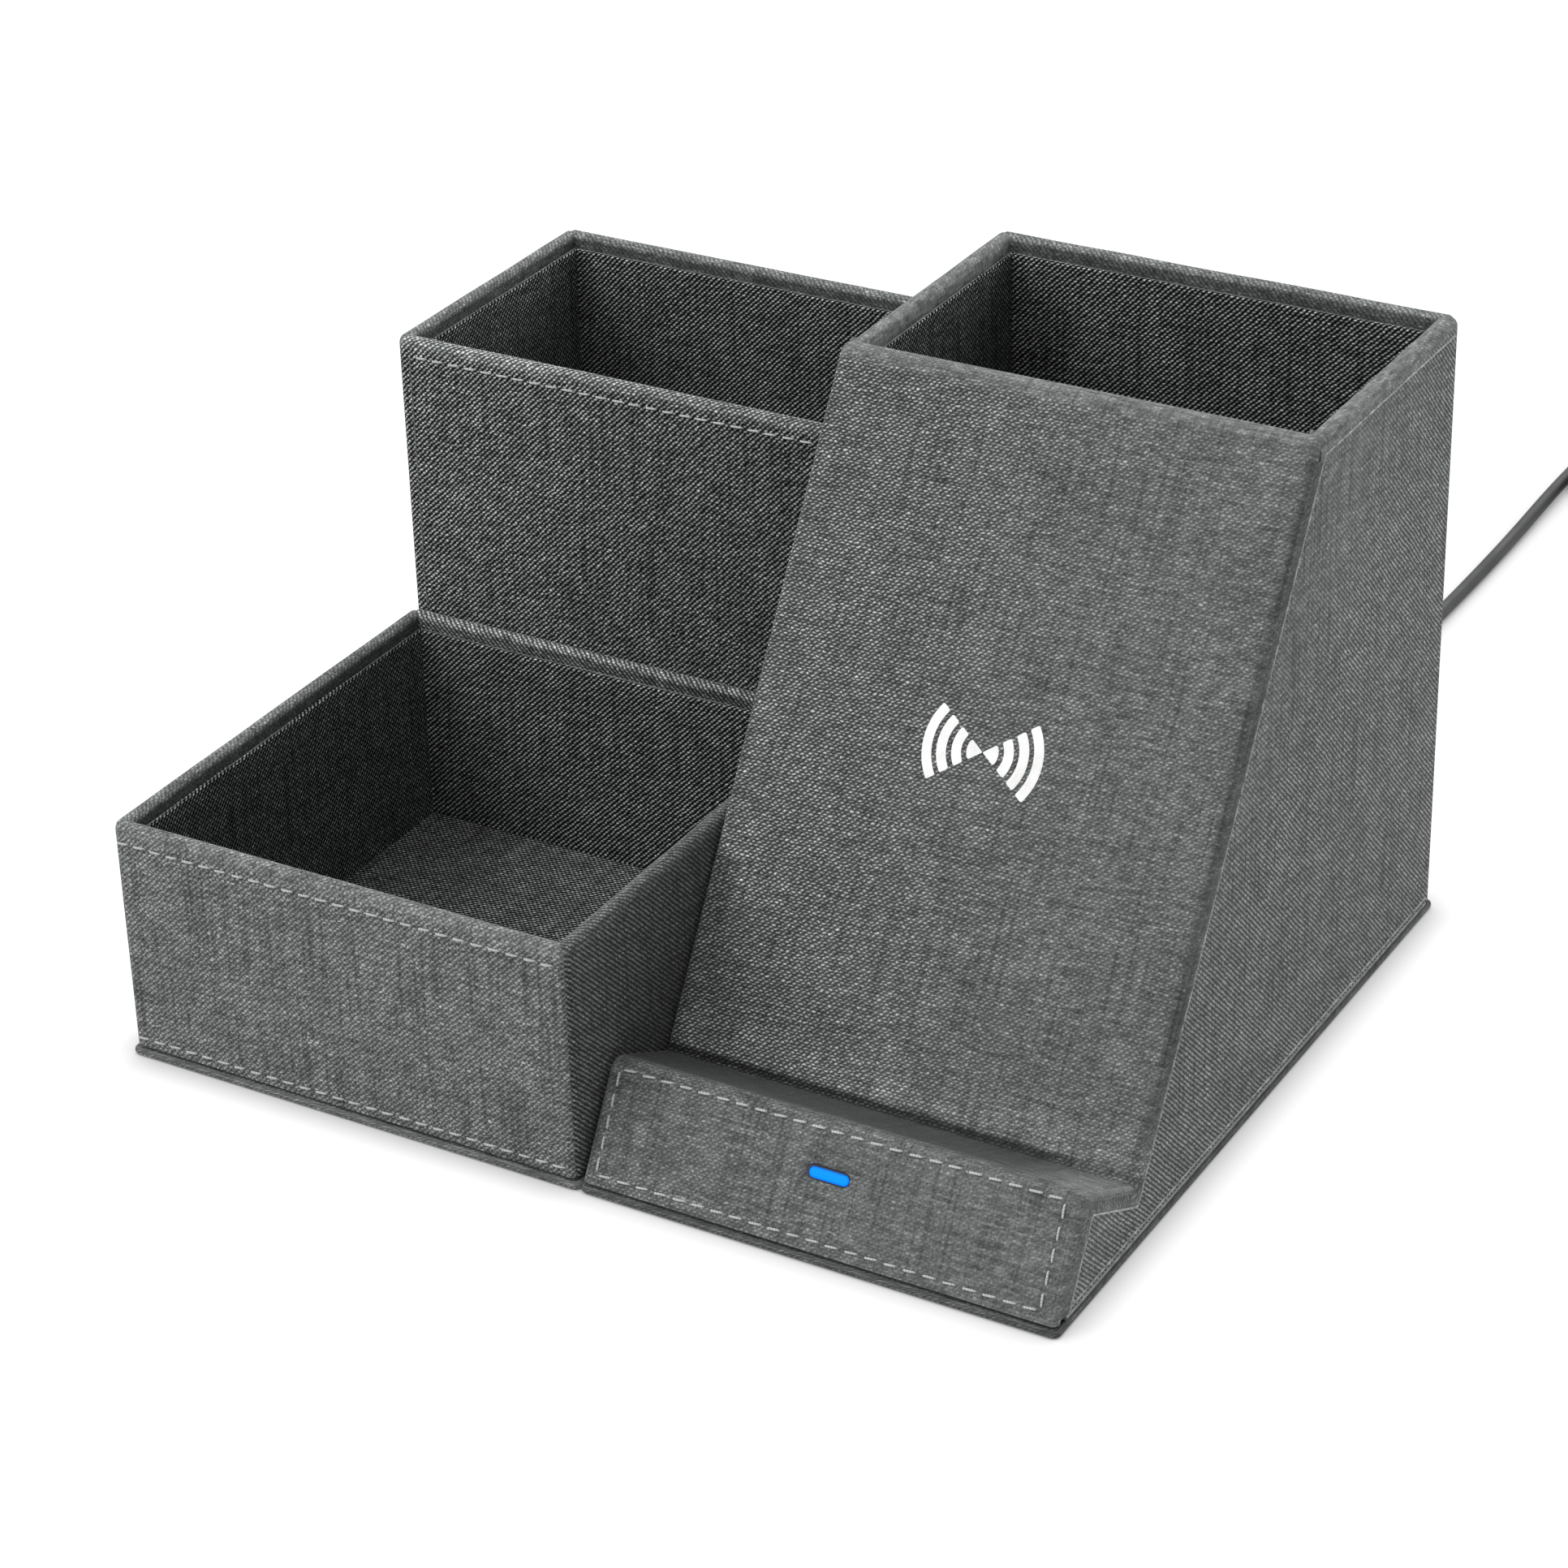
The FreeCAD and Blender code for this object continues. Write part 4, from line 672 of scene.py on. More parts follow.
def plate(name, low, high, corner, edge):
    """A lying board with rounded corners and a rolled edge."""
    roll = [Vector((sin(a), cos(a))) for a in turns(pi / 2, ARC_STEPS)]
    levels = [Vector((edge * (1 - way.x), low.z + edge * (1 - way.y))) for way in roll]
    levels += [Vector((inset, high.z - (height - low.z))) for inset, height in reversed(levels)]
    centre = (low + high) / 2
    rings, cloth = [], []
    for (inset, height), rise in zip(levels, lengths(levels)):
        half = (high - low) / 2 - Vector((inset, inset, 0))
        radius = max(corner - inset, SHARP)
        ring = []
        for quarter, (x, y) in enumerate(QUARTERS):
            hub = centre + Vector((x * (half.x - radius), y * (half.y - radius), 0))
            for turn in turns(pi / 2, steps=4):
                angle = pi / 2 * quarter + turn
                spot = hub + Vector((cos(angle), sin(angle), 0)) * radius
                ring.append(Vector((spot.x, spot.y, height)))
        rings.append(ring)
        cloth.append([(run, rise) for run in lengths(ring + [ring[0]])])
    return loft(name, rings, cloth)


def inwards(way):
    """Into the tower, square to a way up its front."""
    return Vector((way.y, -way.x))


def front_lines(inset):
    """The lines of lip, ledge and slope, drawn in by inset."""
    starts = (LIP, (LIP_TOP, LEDGE_BACK), SLOPE)
    return [(start + inwards(way) * inset, way) for start, way in starts]


def crossings(lines):
    """Where each line meets the next."""
    return [meet(*first, *second) for first, second in zip(lines, lines[1:])]


def front_corners(inset, top):
    """Foot, lip top, fold and crest, drawn in by inset and up to a height."""
    return crossings([(FOOT, LEVEL), *front_lines(inset), (Vector((0, top)), LEVEL)])


CREST_SHARE, TOP_SHARE = 0.75, 0.3


def front_profile(inset):
    """The closed section of the front's boards, its outside drawn in by inset."""
    top = (CREST - Vector((0, min(inset, EDGE_ROUND))), LEVEL)
    lines = [*front_lines(inset), top, *reversed(front_lines(BOARD_THICK))]
    corners = crossings([(FOOT, LEVEL), *lines, (FOOT, LEVEL)])
    left = BOARD_THICK - inset
    radii = (
        max(LIP_ROUND - inset, SHARP),
        FOLD_ROUND + inset,
        max(min(CREST_ROUND, CREST_SHARE * left), SHARPEST),
        max(min(TOWER_ROUND, TOP_SHARE * left), SHARPEST),
        SHARP,
        SHARP,
    )
    return rounded(corners, radii)


INSIDE_POINTS = 2 * (ARC_STEPS + 1) + 1


def edge_stations():
    """(distance from the middle, inset) round the front's edge and over a groove."""
    stations = [
        (TOWER_HALF - EDGE_ROUND * (1 - sin(a)), EDGE_ROUND * (1 - cos(a)))
        for a in turns(pi / 2, ARC_STEPS)
    ]
    wide = BOARD_THICK - SHARP - EDGE_ROUND
    for share in turns(1.0, steps=8)[1:]:
        dip = sin(pi * sqrt(share)) ** 2
        stations.append((TOWER_HALF - EDGE_GROOVE * dip, EDGE_ROUND + wide * share))
    return stations


def front_ring(x, inset):
    """The front's section at x. Past the rounded edge, its inside stays at the side's face."""
    outline = front_profile(inset)
    inner_x = copysign(TOWER_HALF, x) if inset else x
    places = [x] * (len(outline) - INSIDE_POINTS) + [inner_x] * INSIDE_POINTS
    return [Vector((TOWER_MIDDLE + place, p.x, p.y)) for place, p in zip(places, outline)]


def tower_front():
    """One cloth over lip, ledge and slope, with a groove where it turns onto the sides."""
    right = edge_stations()
    middle = [(right[0][0] * share, 0.0) for share in shares(half=10)[1:-1]]
    stations = [(-x, inset) for x, inset in reversed(right)] + middle + right
    runs = lengths([Vector(station) for station in stations])
    outline = front_profile(0.0)
    climb = lengths(outline + [outline[0]])
    rings = [front_ring(x, inset) for x, inset in stations]
    cloth = [[(run, rise) for rise in climb] for run in runs]
    piece = loft("tower_front_cover", rings, cloth)
    cut_slot(piece)
    dress(piece, SOFT, ("tower_lip_panel", "tower_ledge_panel", "tower_slope_panel"))


def on_face(face, across, up, out=0.0):
    """A place on the lip or the slope: across from the middle, up, and out of the face."""
    start, way = face
    spot = start + way * up - inwards(way) * out
    return Vector((TOWER_MIDDLE + across, spot.x, spot.y))


def stadium(width, height, steps=10):
    """A slot outline with round ends about the origin."""
    radius = height / 2
    reach = width / 2 - radius
    right = [pi * (k / steps - 0.5) for k in range(steps + 1)]
    ends = [Vector((reach + radius * cos(a), radius * sin(a))) for a in right]
    return ends + [-point for point in ends]


LIGHT_ACROSS, LIGHT_UP, LIGHT_SIZE, LIGHT_SLACK = -0.6, 14.5, (8.9, 2.6), 0.15
LENS_SUNK, LENS_DOME, LENS_RIM = 0.35, 0.25, 0.2
LENS_SHIFT = Vector((0.12, -0.12))
LENS_CURVE = ((0.8, 0.5), (0.5, 0.85), (0.02, 1.0))
LENS_TAPER, LENS_TIP = 0.98, 0.01
SLOT_OUTSIDE, SLOT_INSIDE = -0.1, -0.15
CUT_PAST = 1.0


def lip_prism(name, outline_at, capped=True):
    """A solid on the lip through (outline, out of the face, cloth rim)."""
    rings, cloth = [], []
    for outline, out, rim in outline_at:
        rings.append([on_face(LIP, LIGHT_ACROSS + p.x, LIGHT_UP + p.y, out) for p in outline])
        cloth.append([(p.x, rim) for p in outline + outline[:1]])
    return loft(name, rings, cloth, capped=capped)


def cut_slot(piece):
    """Open the slot for the light in the lip's cloth."""
    outline = stadium(*(size + 2 * LIGHT_SLACK for size in LIGHT_SIZE))
    ends = [(outline, out, 0) for out in (-BOARD_THICK - CUT_PAST, CUT_PAST)]
    cut_out(piece, lip_prism("slot_cutter", ends))


def indicator():
    """The lit lens, domed and sunk in its slot, with a dark liner round it."""
    wide, high = (size - 2 * LENS_RIM for size in LIGHT_SIZE)
    levels = [(1.0, -BOARD_THICK), (1.0, -LENS_SUNK)]
    levels += [(share, LENS_DOME * rise - LENS_SUNK) for share, rise in LENS_CURVE]
    lens = []
    for share, out in levels:
        inset = (1 - share) * LIGHT_SIZE[1] * LENS_TAPER
        outline = [p + LENS_SHIFT for p in stadium(wide - inset, max(high - inset, LENS_TIP))]
        lens.append((outline, out, share))
    dress(lip_prism("light_lens", lens), LIT, ["light_window"])
    outer, inner = stadium(*LIGHT_SIZE), lens[0][0]
    walls = [(outer, -BOARD_THICK), (outer, SLOT_OUTSIDE), (inner, SLOT_INSIDE), (inner, -BOARD_THICK)]
    walls = [(outline, out, 0) for outline, out in walls + walls[:1]]
    dress(lip_prism("light_slot_liner", walls, capped=False), SLOT_EDGE)


LEAST_HEIGHT = 0.1
SIDE_WAVER = 5
RIM_BAND = 3.5
SHOULDER = front_corners(BOARD_THICK, TOWER[1].z)[-1].x

# The rim's front end: past the crest, over the shoulder, proud of the side and below the band
END_PAST, END_LAP, END_PROUD, END_LOWER = 0.8, 0.05, 0.02, 0.5


def side_stations():
    """(y, top, rim, turn) along a tower side, under the front and round the back corner."""
    last, high = TOWER[1].y - CORNER_ROUND, TOWER[1].z
    stations = [(p.x, p.y, SHARPEST, 0.0) for p in split(front_corners(BOARD_THICK, high), longest=8.0)]
    stations += [
        (SHOULDER + (last - SHOULDER) * share, high, TOWER_ROUND, 0.0) for share in turns(1.0, steps=10)
    ]
    return stations + [(last, high, TOWER_ROUND, turn) for turn in turns(CORNER_TURN, CORNER_STEPS)[1:]]


def side_panel(side, x, inward):
    """A tower side: a board under the front's boards, with a rolled rim."""
    back, high = TOWER[1].y, TOWER[1].z
    rings, cloth = [], []
    for y, top, rim, turn in side_stations():
        top = max(top, BASE_TOP + LEAST_HEIGHT)
        section = board_section(BOARD_THICK, BASE_TOP, top, min(rim, (top - BASE_TOP) / 3))
        ring = []
        for depth, height in section:
            bend = max(CORNER_ROUND - depth, 0.0)
            last = back - max(depth, CORNER_ROUND) + bend * sin(turn)
            place = last if turn else min(y, last)
            if height > high - 2 * TOWER_ROUND:
                height += waver(place, x, SIDE_WAVER) - corner_drop(turn, bend)
            ring.append(Vector((x + inward * (depth + bend * (1 - cos(turn))), place, height)))
        rings.append(ring)
        runs = lengths(section + [section[0]])
        cloth.append([(-y - CORNER_ROUND * turn, run + BASE_TOP - high) for run in runs])
    dress(loft(f"tower_{side}_cover", rings, cloth), SIDE, [f"tower_{side}_panel"])

    begin, end = CREST.x + END_PAST, SHOULDER + END_LAP
    middle = Vector((x - END_PROUD * inward, (begin + end) / 2))
    site = Site(middle, Y, X * inward, end - begin)
    low = high - RIM_BAND - END_LOWER
    rim = wall(f"tower_{side}_rim_corner", site, low, high, BOARD_THICK, TOWER_ROUND, mitred=False)
    dress(rim, SIDE)


BEZEL_FLANGE, PORT_SLACK = 1.6, 0.15


def tower_back():
    """The back board, mitred at its corners, with the socket's opening."""
    back = TOWER[1].y
    piece = wall("tower_back_cover", site_on(TOWER, "back"), BASE_TOP, TOWER[1].z, BOARD_THICK, TOWER_ROUND)
    low, high = span("port_bezel")
    flange = BEZEL_FLANGE - PORT_SLACK
    left, right, floor, top = low.x + flange, high.x - flange, low.z + flange, high.z - flange
    outline = ((left, floor), (right, floor), (right, top), (left, top))
    ends = (back - 2 * BOARD_THICK, back + 2 * CUT_PAST)
    cut_out(piece, loft("port_cutter", [[Vector((x, y, z)) for x, z in outline] for y in ends], None))
    dress(piece, GREY, ["tower_back_panel"])


# Stitches, which stray in length, along, aside and in lean
STITCH_PITCH, LIP_STITCH_PITCH = 3.9, 4.05
STITCH_LENGTH = 2.7
STITCH_LEAN = -0.07
STRAY = (0.09, 0.2, 0.1, 0.05)
STRAY_STEPS = (1.7, 9.1)
STITCH_SHARES = (-1, -0.8, -0.4, 0, 0.4, 0.8, 1)
THREAD_RADIUS, THREAD_RISE, THREAD_DIP, THREAD_TAPER = 0.24, 0.14, 0.3, 0.35
THREAD_SIDES = 7


def thread_ring(centre, along, out, radius, sides):
    """A round of points about a centre, square to a way."""
    side = along.cross(out).normalized()
    angles = turns(2 * pi, sides)[:-1]
    return [centre + (out * sin(a) + side * cos(a)) * radius for a in angles]


def stitch_row(name, begin, end, out, seed, pitch=STITCH_PITCH):
    """A row of running stitches, each sunk into the cloth at both ends."""
    row = end - begin
    along = row.normalized()
    side = along.cross(out).normalized()
    count = max(1, round(row.length / pitch))
    pitch = row.length / count
    mesh = new_mesh()
    for i in range(count):
        places = [Vector((i * STRAY_STEPS[0], seed, k * STRAY_STEPS[1])) for k in range(len(STRAY))]
        longer, further, aside, askew = (most * noise.noise(p) for most, p in zip(STRAY, places))
        half = STITCH_LENGTH / 2 * (1 + longer)
        middle = begin + along * (pitch * (i + 0.5) + further) + side * aside
        lean = (along + side * (STITCH_LEAN + askew)).normalized()
        rings, cloth = [], []
        for share in STITCH_SHARES:
            centre = middle + lean * (half * share) + out * (THREAD_RISE - THREAD_DIP * share**8)
            radius = THREAD_RADIUS * (1 - THREAD_TAPER * share**6)
            rings.append(thread_ring(centre, lean, out, radius, THREAD_SIDES))
        for run in turns(2 * half, len(rings) - 1):
            cloth.append([(run, way) for way in turns(1.0, THREAD_SIDES)])
        add_tube(mesh, rings, cloth)
    dress(write_mesh(name, mesh, smooth_below=60.0), THREAD)


RIDGE_SIDES = 8
RIDGE_SWELL, ROLL_SWELL, SWELL_SCALE = 0.5, 0.08, 0.9
CROSSWISE = 0.9


def ridge(name, points, radius, material=SEAM, uneven=RIDGE_SWELL):
    """A thin folded edge of cloth along a line, of uneven thickness."""
    rings = []
    for i, point in enumerate(points):
        way = (points[min(i + 1, len(points) - 1)] - points[max(i - 1, 0)]).normalized()
        out = Vector((1, 0, 0)) if abs(way.x) < CROSSWISE else Vector((0, 0, 1))
        out = (out - way * out.dot(way)).normalized()
        swell = 1 + uneven * noise.noise(point * SWELL_SCALE)
        rings.append(thread_ring(point, way, out, radius * swell, RIDGE_SIDES))
    cloth = [[(run, way) for way in turns(1.0, RIDGE_SIDES)] for run in lengths(points)]
    dress(loft(name, rings, cloth, smooth_below=60.0), material)


SIGN_ACROSS, SIGN_UP, SIGN_ANGLE = -0.3, 70.1, radians(36.5)
SIGN_BANDS = ((0.12, 3.3), (4.4, 6.4), (7.5, 9.5), (10.5, 12.5))
SIGN_CORNER, SIGN_LOW, SIGN_HIGH = 0.4, 0.01, 0.06


def arc_stations(radius):
    """(angle, inset) across an arc of the sign, which closes in at its round ends."""
    ends = []
    for turn in turns(pi / 2, steps=4)[:-1]:
        angle = SIGN_ANGLE - SIGN_CORNER * (1 - cos(turn)) / radius
        ends.append((angle, SIGN_CORNER * (1 - sin(turn))))
    inner = SIGN_ANGLE - SIGN_CORNER / radius
    middle = [(inner * share, 0.0) for share in shares(half=6)]
    return [(-angle, inset) for angle, inset in ends] + middle + list(reversed(ends))


def sign():
    """The general sign for wireless charging: a sector and three arcs each way."""
    mesh = new_mesh()
    for way in (-1, 1):
        for near, far in SIGN_BANDS:
            rings = []
            for angle, inset in arc_stations(far):
                low, high = min(near + inset, (near + far) / 2), far - inset
                spots = [(low, SIGN_LOW), (high, SIGN_LOW), (high, SIGN_HIGH), (low, SIGN_HIGH)]
                across, up = way * cos(angle), sin(angle)
                places = [(SIGN_ACROSS + r * across, SIGN_UP + r * up, out) for r, out in spots]
                rings.append([on_face(SLOPE, *place) for place in places])
            add_tube(mesh, rings)
    for face in mesh.faces:
        lay_cloth(mesh, face, 0, 2)
    dress(write_mesh("charging_sign", mesh, smooth_below=30.0), PRINT)


# Rows of stitches, from the rim, the desk or the lip's foot and ends
TRAY_ROW_DROP, TRAY_ROW_UP, TALL_ROW_DROP = 4.1, 4.3, 3.8
LIP_ROW_LOW, LIP_ROW_HIGH, LIP_ROW_LEFT, LIP_ROW_RIGHT = 2.1, 22.6, 2.6, 3.9
LIP_SEED = 20.0


def front_stitches(name, box, height, left, right, seed):
    """A level row of stitches on a box's front, some way from its ends."""
    low, high = box
    ends = [Vector((x, low.y, height)) for x in (low.x + left, high.x - right)]
    stitch_row(name, *ends, Vector((0, -1, 0)), seed)


def stitching():
    """The visible rows of thread: tray front, tall box front and lip."""
    for name, height in (("high", TRAY[1].z - TRAY_ROW_DROP), ("low", TRAY_ROW_UP)):
        front_stitches(f"tray_front_{name}_stitches", TRAY, height, left=0.6, right=2.0, seed=height)
    height = TALL[1].z - TALL_ROW_DROP
    front_stitches("tall_box_front_stitches", TALL, height, left=4.3, right=1.5, seed=7.0)
    left, right = LIP_ROW_LEFT - TOWER_HALF, TOWER_HALF - LIP_ROW_RIGHT
    corners = [(left, LIP_ROW_LOW), (right, LIP_ROW_LOW), (right, LIP_ROW_HIGH), (left, LIP_ROW_HIGH)]
    places = [on_face(LIP, *corner) for corner in corners + corners[:1]]
    lip_out = Vector((0, -LIP_UP.y, LIP_UP.x))
    for i, name in enumerate(("low", "right", "high", "left")):
        stitch_row(f"lip_{name}_stitches", *places[i:i + 2], lip_out, LIP_SEED + i, LIP_STITCH_PITCH)


SEAM_INSET, SEAM_RADIUS, SEAM_ROUND = 4.2, 0.2, 0.6
FOOT_INSET, FOOT_ROLL, LEDGE_INSET, LEDGE_ROLL = 0.35, 0.55, 0.75, 0.7
TALL_SEAM_INSET, TALL_SEAM_STOP = 3.4, 4.0


def side_line(x, outline):
    """A line of the YZ plane at x, in short runs."""
    return [Vector((x, p.x, p.y)) for p in split(outline, longest=1.2)]


def level_line(x, start, stop, height):
    """A level line along a tower side, some way from the tower's front and back."""
    return side_line(x, [Vector((y, height)) for y in (TOWER[0].y + start, TOWER[1].y - stop)])


def side_seams(side, x, inward):
    """Folded and rolled edges of cloth that show as thin lines on a tower side."""
    rim_low = TOWER[1].z - RIM_BAND
    climb = rounded(front_corners(SEAM_INSET, rim_low), (SEAM_ROUND, SEAM_ROUND))
    ridge(f"tower_{side}_front_seam", side_line(x, climb), SEAM_RADIUS)
    rim = level_line(x, climb[-1].x - TOWER[0].y, stop=CORNER_ROUND + 0.4, height=rim_low)
    rim = [p + Vector((0, 0, waver(p.y, x, 1))) for p in rim]
    ridge(f"tower_{side}_rim_seam", rim, SEAM_RADIUS)
    roll = level_line(x + FOOT_INSET * inward, start=4.0, stop=3.0, height=BASE_TOP - 0.2)
    ridge(f"tower_{side}_foot_roll", roll, FOOT_ROLL, ROLLED, uneven=ROLL_SWELL)
    foot = level_line(x, start=5.4, stop=3.0, height=BASE_TOP + 1.2)
    ridge(f"tower_{side}_foot_seam", foot, SEAM_RADIUS)
    ledge = rounded(front_corners(LEDGE_INSET, rim_low)[:3], (LIP_ROUND,))[2:]
    roll = side_line(x + LEDGE_INSET * inward, ledge)
    ridge(f"tower_{side}_ledge_roll", roll, LEDGE_ROLL, LEDGE_EDGE, uneven=ROLL_SWELL)


def tall_box_seam():
    """The upright fold near the left end of the tall box's front."""
    low, high = TALL
    ends = [Vector((low.x + TALL_SEAM_INSET, z)) for z in (BASE_TOP, high.z - TALL_SEAM_STOP)]
    upright = [Vector((p.x + waver(p.y, 2, 2), low.y, p.y)) for p in split(ends, longest=4.0)]
    ridge("tall_box_front_seam", upright, BEAD_RADIUS, LINER_EDGE)


# Corner and edge roundings of lying boards
FLOOR_BOARD, BASE_BOARD, BASE_NECK = (0.6, 0.4), (1.6, 0.7), (0.6, 0.1)
BASE_ROLL = 1.55
NECK_INSET, NECK_SUNK = 1.4, 0.05


def boxes():
    """The tray, the tall box, the linings and the base boards."""
    # Darker copies of the cover paint shade on the tray's right and back walls and the tall box's front
    open_box("tray", TRAY, {"right": SHADED, "back": SHADED_CRISP})
    open_box("tall_box", TALL, {"front": SHADED_CRISP})
    for box in ("tray", "tall_box"):
        for side in SIDES:
            liner(f"{box}_{side}_liner")
    for node in ("pen_right_liner", "pen_back_liner", "pen_divider_board"):
        liner(node)
    # The pen's left lining is painted darker, as shade
    liner("pen_left_liner", SHADED_LINING)
    for node in ("tray_floor_board", "tall_box_floor_board", "pen_floor_board"):
        dress(plate(f"{node}_cover", *span(node), *FLOOR_BOARD), LINING, [node])
    base_board("storage_base_board", BASE)
    base_board("tower_base_board", DARK_BASE)


def base_board(node, cover):
    """A wrapped base: a rolled edge and a neck of painted shadow where the walls stand."""
    low, high = span(node)
    roll = Vector((high.x, high.y, low.z + BASE_ROLL))
    dress(plate(f"{node}_cover", low, roll, *BASE_BOARD), cover, [node])
    inset = Vector((NECK_INSET, NECK_INSET, 0))
    foot = Vector((low.x, low.y, roll.z - NECK_SUNK)) + inset
    dress(plate(f"{node}_neck", foot, high - inset, *BASE_NECK), PAINTED_GAP_SHADOW)


# Cable route, from where it leaves the strain relief
CORD_DIAMETER = 3.2
ROUTE = (
    (52.5, 112.1, 14.0), (52.5, 125.1, 14.0), (52.6, 144.1, 9.0),
    (52.9, 166.1, 3.2), (53.4, 190.1, 1.6), (53.9, 220.1, 1.6),
    (53.7, 252.1, 1.6), (53.3, 280.1, 2.5), (53.3, 300.1, 2.5),
)
TAIL = ((102.8, 300.1, 6.25), (102.8, 292.6, 6.25), (102.8, 283.1, 4.2), (102.8, 275.6, 4.2))
COIL_TURNS, CLIMB_TURNS, COIL_POINTS = 6.5, 0.5, 16
COIL_CENTRE, COIL_INNER, TURN_PITCH = (78.05, 303.3), 12.4, 3.8
COIL_LOW, COIL_HIGH = 2.5, 6.25
CORD_NODES = ["charging_cable", "charging_cable_coil", "charging_cable_tail"]


def coil_points():
    """The put-away turns: inward on the desk, up a layer, and outward on top."""
    points = []
    for i in range(int(COIL_TURNS * COIL_POINTS) + 1):
        done = i / COIL_POINTS
        radius = COIL_INNER + TURN_PITCH * abs(done - COIL_TURNS / 2)
        angle = pi - 2 * pi * done
        climbed = (done - (COIL_TURNS - CLIMB_TURNS) / 2) / CLIMB_TURNS
        height = COIL_LOW + (COIL_HIGH - COIL_LOW) * min(max(climbed, 0.0), 1.0)
        x, y = COIL_CENTRE
        points.append((x + radius * cos(angle), y + radius * sin(angle), height))
    return points


def cable():
    """The charging cable's cord on one smooth line; its plugs, strain reliefs and tie stay CAD nodes."""
    data = bpy.data.curves.new("charging_cord", "CURVE")
    data.dimensions = "3D"
    spline = data.splines.new("NURBS")
    points = [*ROUTE, *coil_points(), *TAIL]
    spline.points.add(len(points) - 1)
    for point, place in zip(spline.points, points):
        point.co = (*(Vector(place) * MM), 1.0)
    spline.order_u = 3
    spline.use_endpoint_u = True
    spline.resolution_u = 8
    data.bevel_depth = CORD_DIAMETER / 2 * MM
    data.bevel_resolution = 5
    data.use_fill_caps = True
    cord = add_object("charging_cord", data)
    dress(cord, JACKET, CORD_NODES, CABLE_BODY)


FINISHES = (
    (ADHESIVE, "module_bond_pads"),
    (BLACK, "port_bezel", "coil_carrier", "socket_tongue", "cable_tie"),
    (WINDINGS, "transmitter_coil"),
    (FERRITE, "ferrite_sheet"),
    (STEEL, "carrier_screws", "board_screws", "socket_shell", "plug_shell", "far_plug_shell"),
    (BOARD, "circuit_board", "light_board"),
    (BRASS, "board_standoffs"),
    (COMPONENT, "board_components"),
    (CHIP_WHITE, "light_led"),
    (WIRE, "coil_lead", "light_lead"),
    (GRIP, "plug_grip", "far_plug_grip"),
    (JACKET, "plug_strain_relief", "far_strain_relief"),
    (CONTACTS, "far_plug_contact_block"),
)


def carried_over():
    """Finishes of the CAD nodes that keep their own shape."""
    for material, *nodes in FINISHES:
        for node in nodes:
            slots = frame["nodes"][node].data.materials
            slots.clear()
            slots.append(material)


# Studio, in metres: the floor, the surround and the lamps with their place, size and power
FLOOR_HALF = 6.0
FLOOR_DROP = 0.05 * MM
FLOOR_TONE, FLOOR_SHADOW, FLOOR_GLOW = 0.8, 0.15, 0.94
CONTACT_REACH, CONTACT_RAYS = 8.0 * MM, 16
WORLD_LIGHT = 0.05
WHITE = (1.0, 1.0, 1.0)
LAMP_AIM = Vector((0, 0, 0.05))
LAMPS = (
    ("overhead", (0.1, -0.15, 1.6), 1.4, 8.1),
    ("front", (0.1, -1.7, 0.9), 1.2, 9.2),
    ("left", (-1.2, -0.9, 1.5), 1.2, 27.0),
    ("back", (0.0, 1.1, 1.4), 1.2, 18.5),
    ("right", (1.5, 0.95, 0.38), 0.8, 10.9),
)


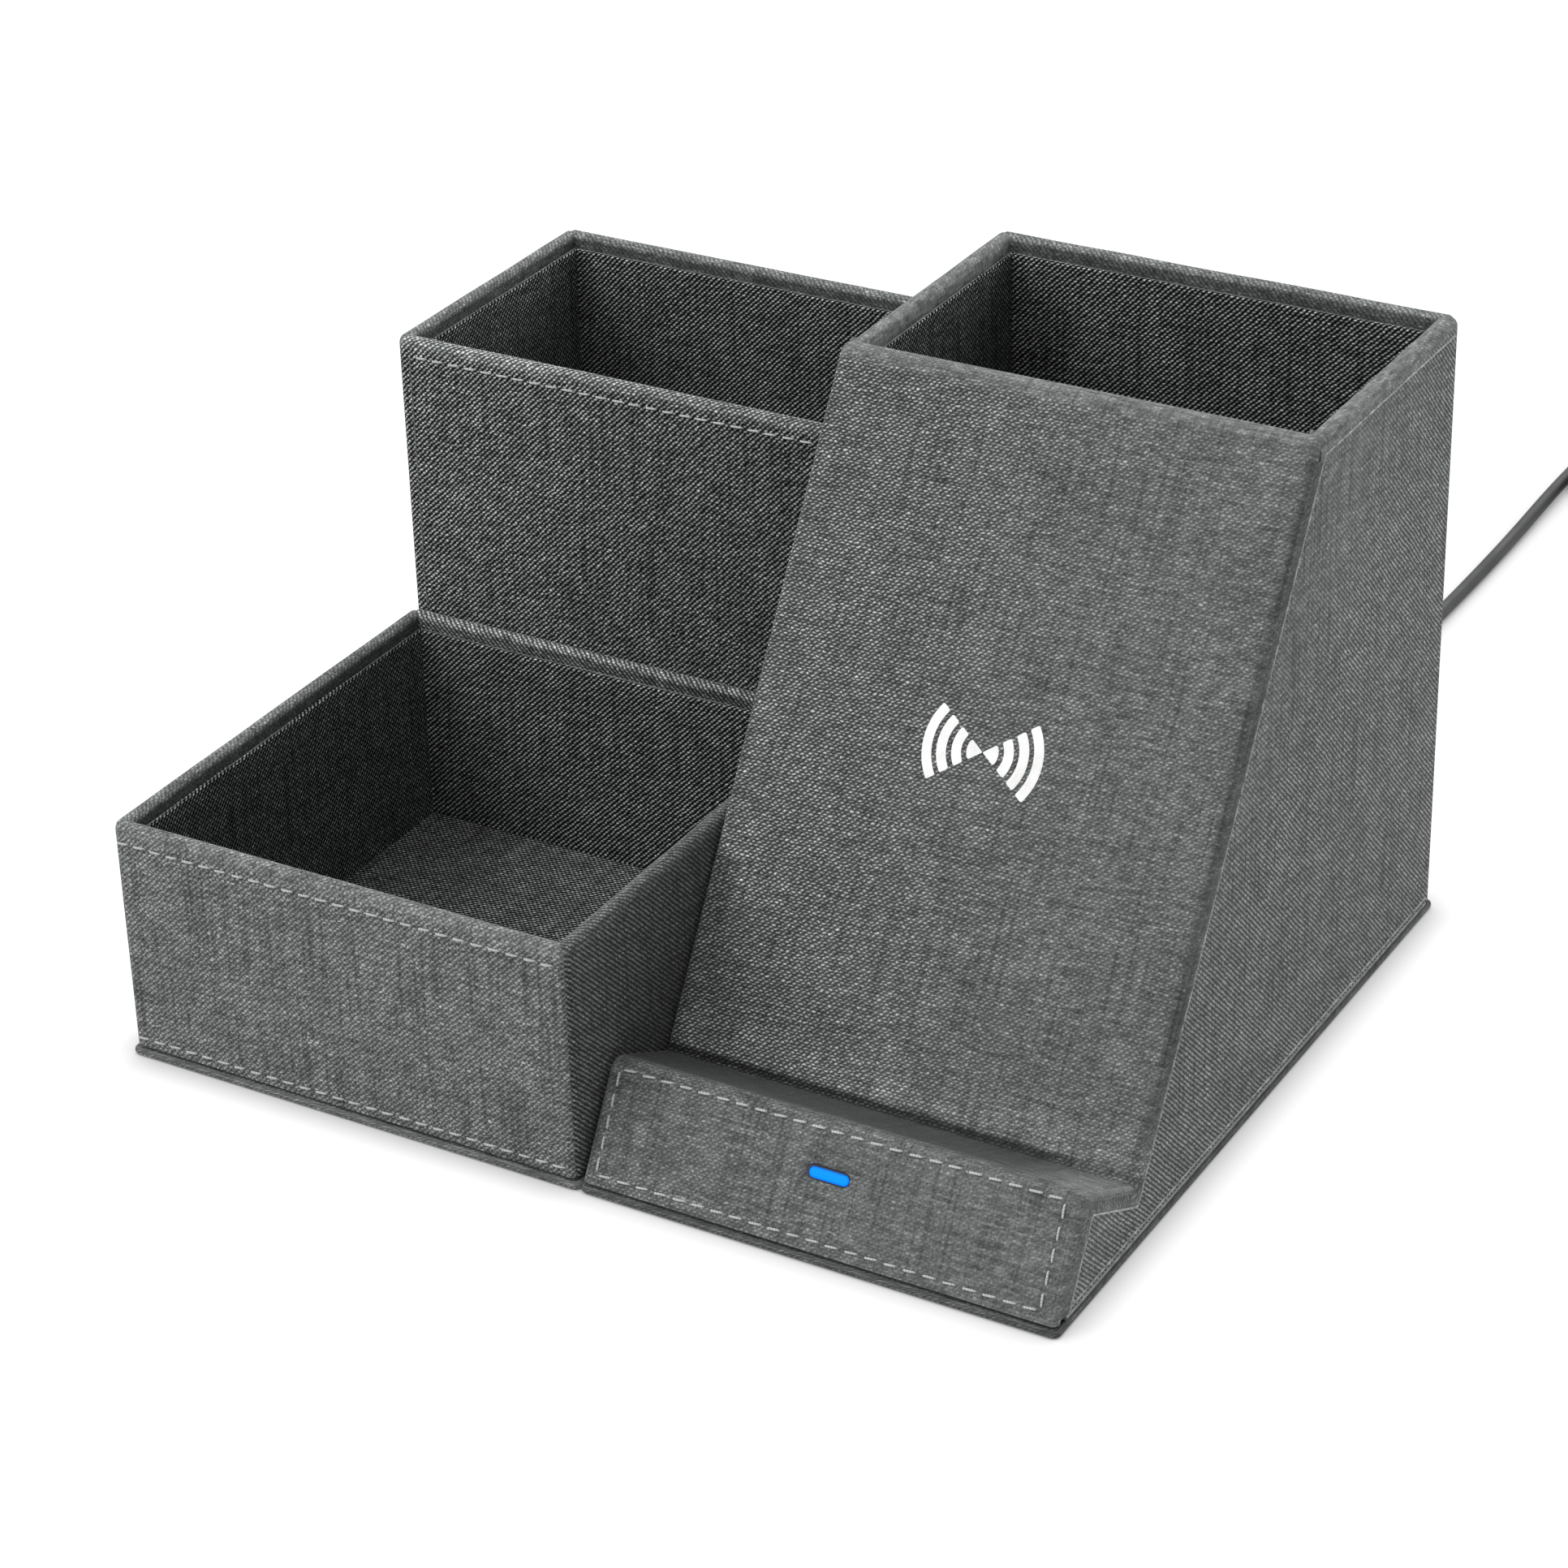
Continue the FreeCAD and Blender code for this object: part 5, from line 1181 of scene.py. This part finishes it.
def white_floor():
    """A floor that the camera sees white, with a soft shadow and a contact shadow."""
    corners = [(FLOOR_HALF * x, FLOOR_HALF * y, 0) for x, y in ((-1, -1), (1, -1), (1, 1), (-1, 1))]
    data = bpy.data.meshes.new("floor")
    data.from_pydata(corners, [], [(0, 1, 2, 3)])
    floor = add_object("floor", data)
    floor.location.z = -FLOOR_DROP
    w = new_material("white_floor")
    w.tree.nodes.remove(w.shader)
    tones = (FLOOR_TONE, FLOOR_SHADOW)
    lit, soft = (w.add("BsdfDiffuse", {"Color": (tone,) * 3}) for tone in tones)
    near = w.add("AmbientOcclusion", {"Distance": CONTACT_REACH}, "Color", samples=CONTACT_RAYS)
    glow = w.add("Emission", {"Color": near, "Strength": FLOOR_GLOW})
    w.shown_only(lit, w.add("AddShader", {0: soft, 1: glow}), "Material Output")
    data.materials.append(w.owner)


def studio():
    """The floor, a surround that looks white but lights little, and the lamps."""
    white_floor()
    world = bpy.data.worlds.new("surround")
    bpy.context.scene.world = world
    w = Wiring(world)
    w.tree.nodes.remove(w.tree.nodes["Background"])
    levels = (WORLD_LIGHT, 1.0)
    lit, shown = (w.add("Background", {"Color": WHITE, "Strength": level}) for level in levels)
    w.shown_only(lit, shown, "World Output")
    for name, place, size, power in LAMPS:
        data = bpy.data.lights.new(name, "AREA")
        data.size, data.energy = size, power
        softbox = add_object(name, data)
        softbox.location = place
        softbox.rotation_euler = (LAMP_AIM - Vector(place)).to_track_quat("-Z", "Y").to_euler()


# Camera, fitted to the photograph's frame
EYE = (391.87, -662.88, 471.26)
VIEW_WAY = (-0.44665, 0.75237, -0.48419)
ROLL = -1.62
LENS, SENSOR = 101.835, 36.0
NEAREST, FURTHEST = 0.01, 50.0


def camera():
    data = bpy.data.cameras.new("photo_camera")
    data.lens, data.sensor_width = LENS, SENSOR
    data.clip_start, data.clip_end = NEAREST, FURTHEST
    eye = add_object("photo_camera", data)
    eye.location = Vector(EYE) * MM
    eye.rotation_euler = Vector(VIEW_WAY).to_track_quat("-Z", "Y").to_euler()
    eye.rotation_euler.rotate_axis("Z", radians(ROLL))
    bpy.context.scene.camera = eye


TOWER_SIDES = (("left", TOWER[0].x, 1), ("right", TOWER[1].x, -1))
camera()
cable()
boxes()
tower_front()
for tower_side in TOWER_SIDES:
    side_panel(*tower_side)
tower_back()
indicator()
sign()
stitching()
for tower_side in TOWER_SIDES:
    side_seams(*tower_side)
tall_box_seam()
carried_over()
studio()
bpy.context.scene.view_settings.view_transform = "Standard"
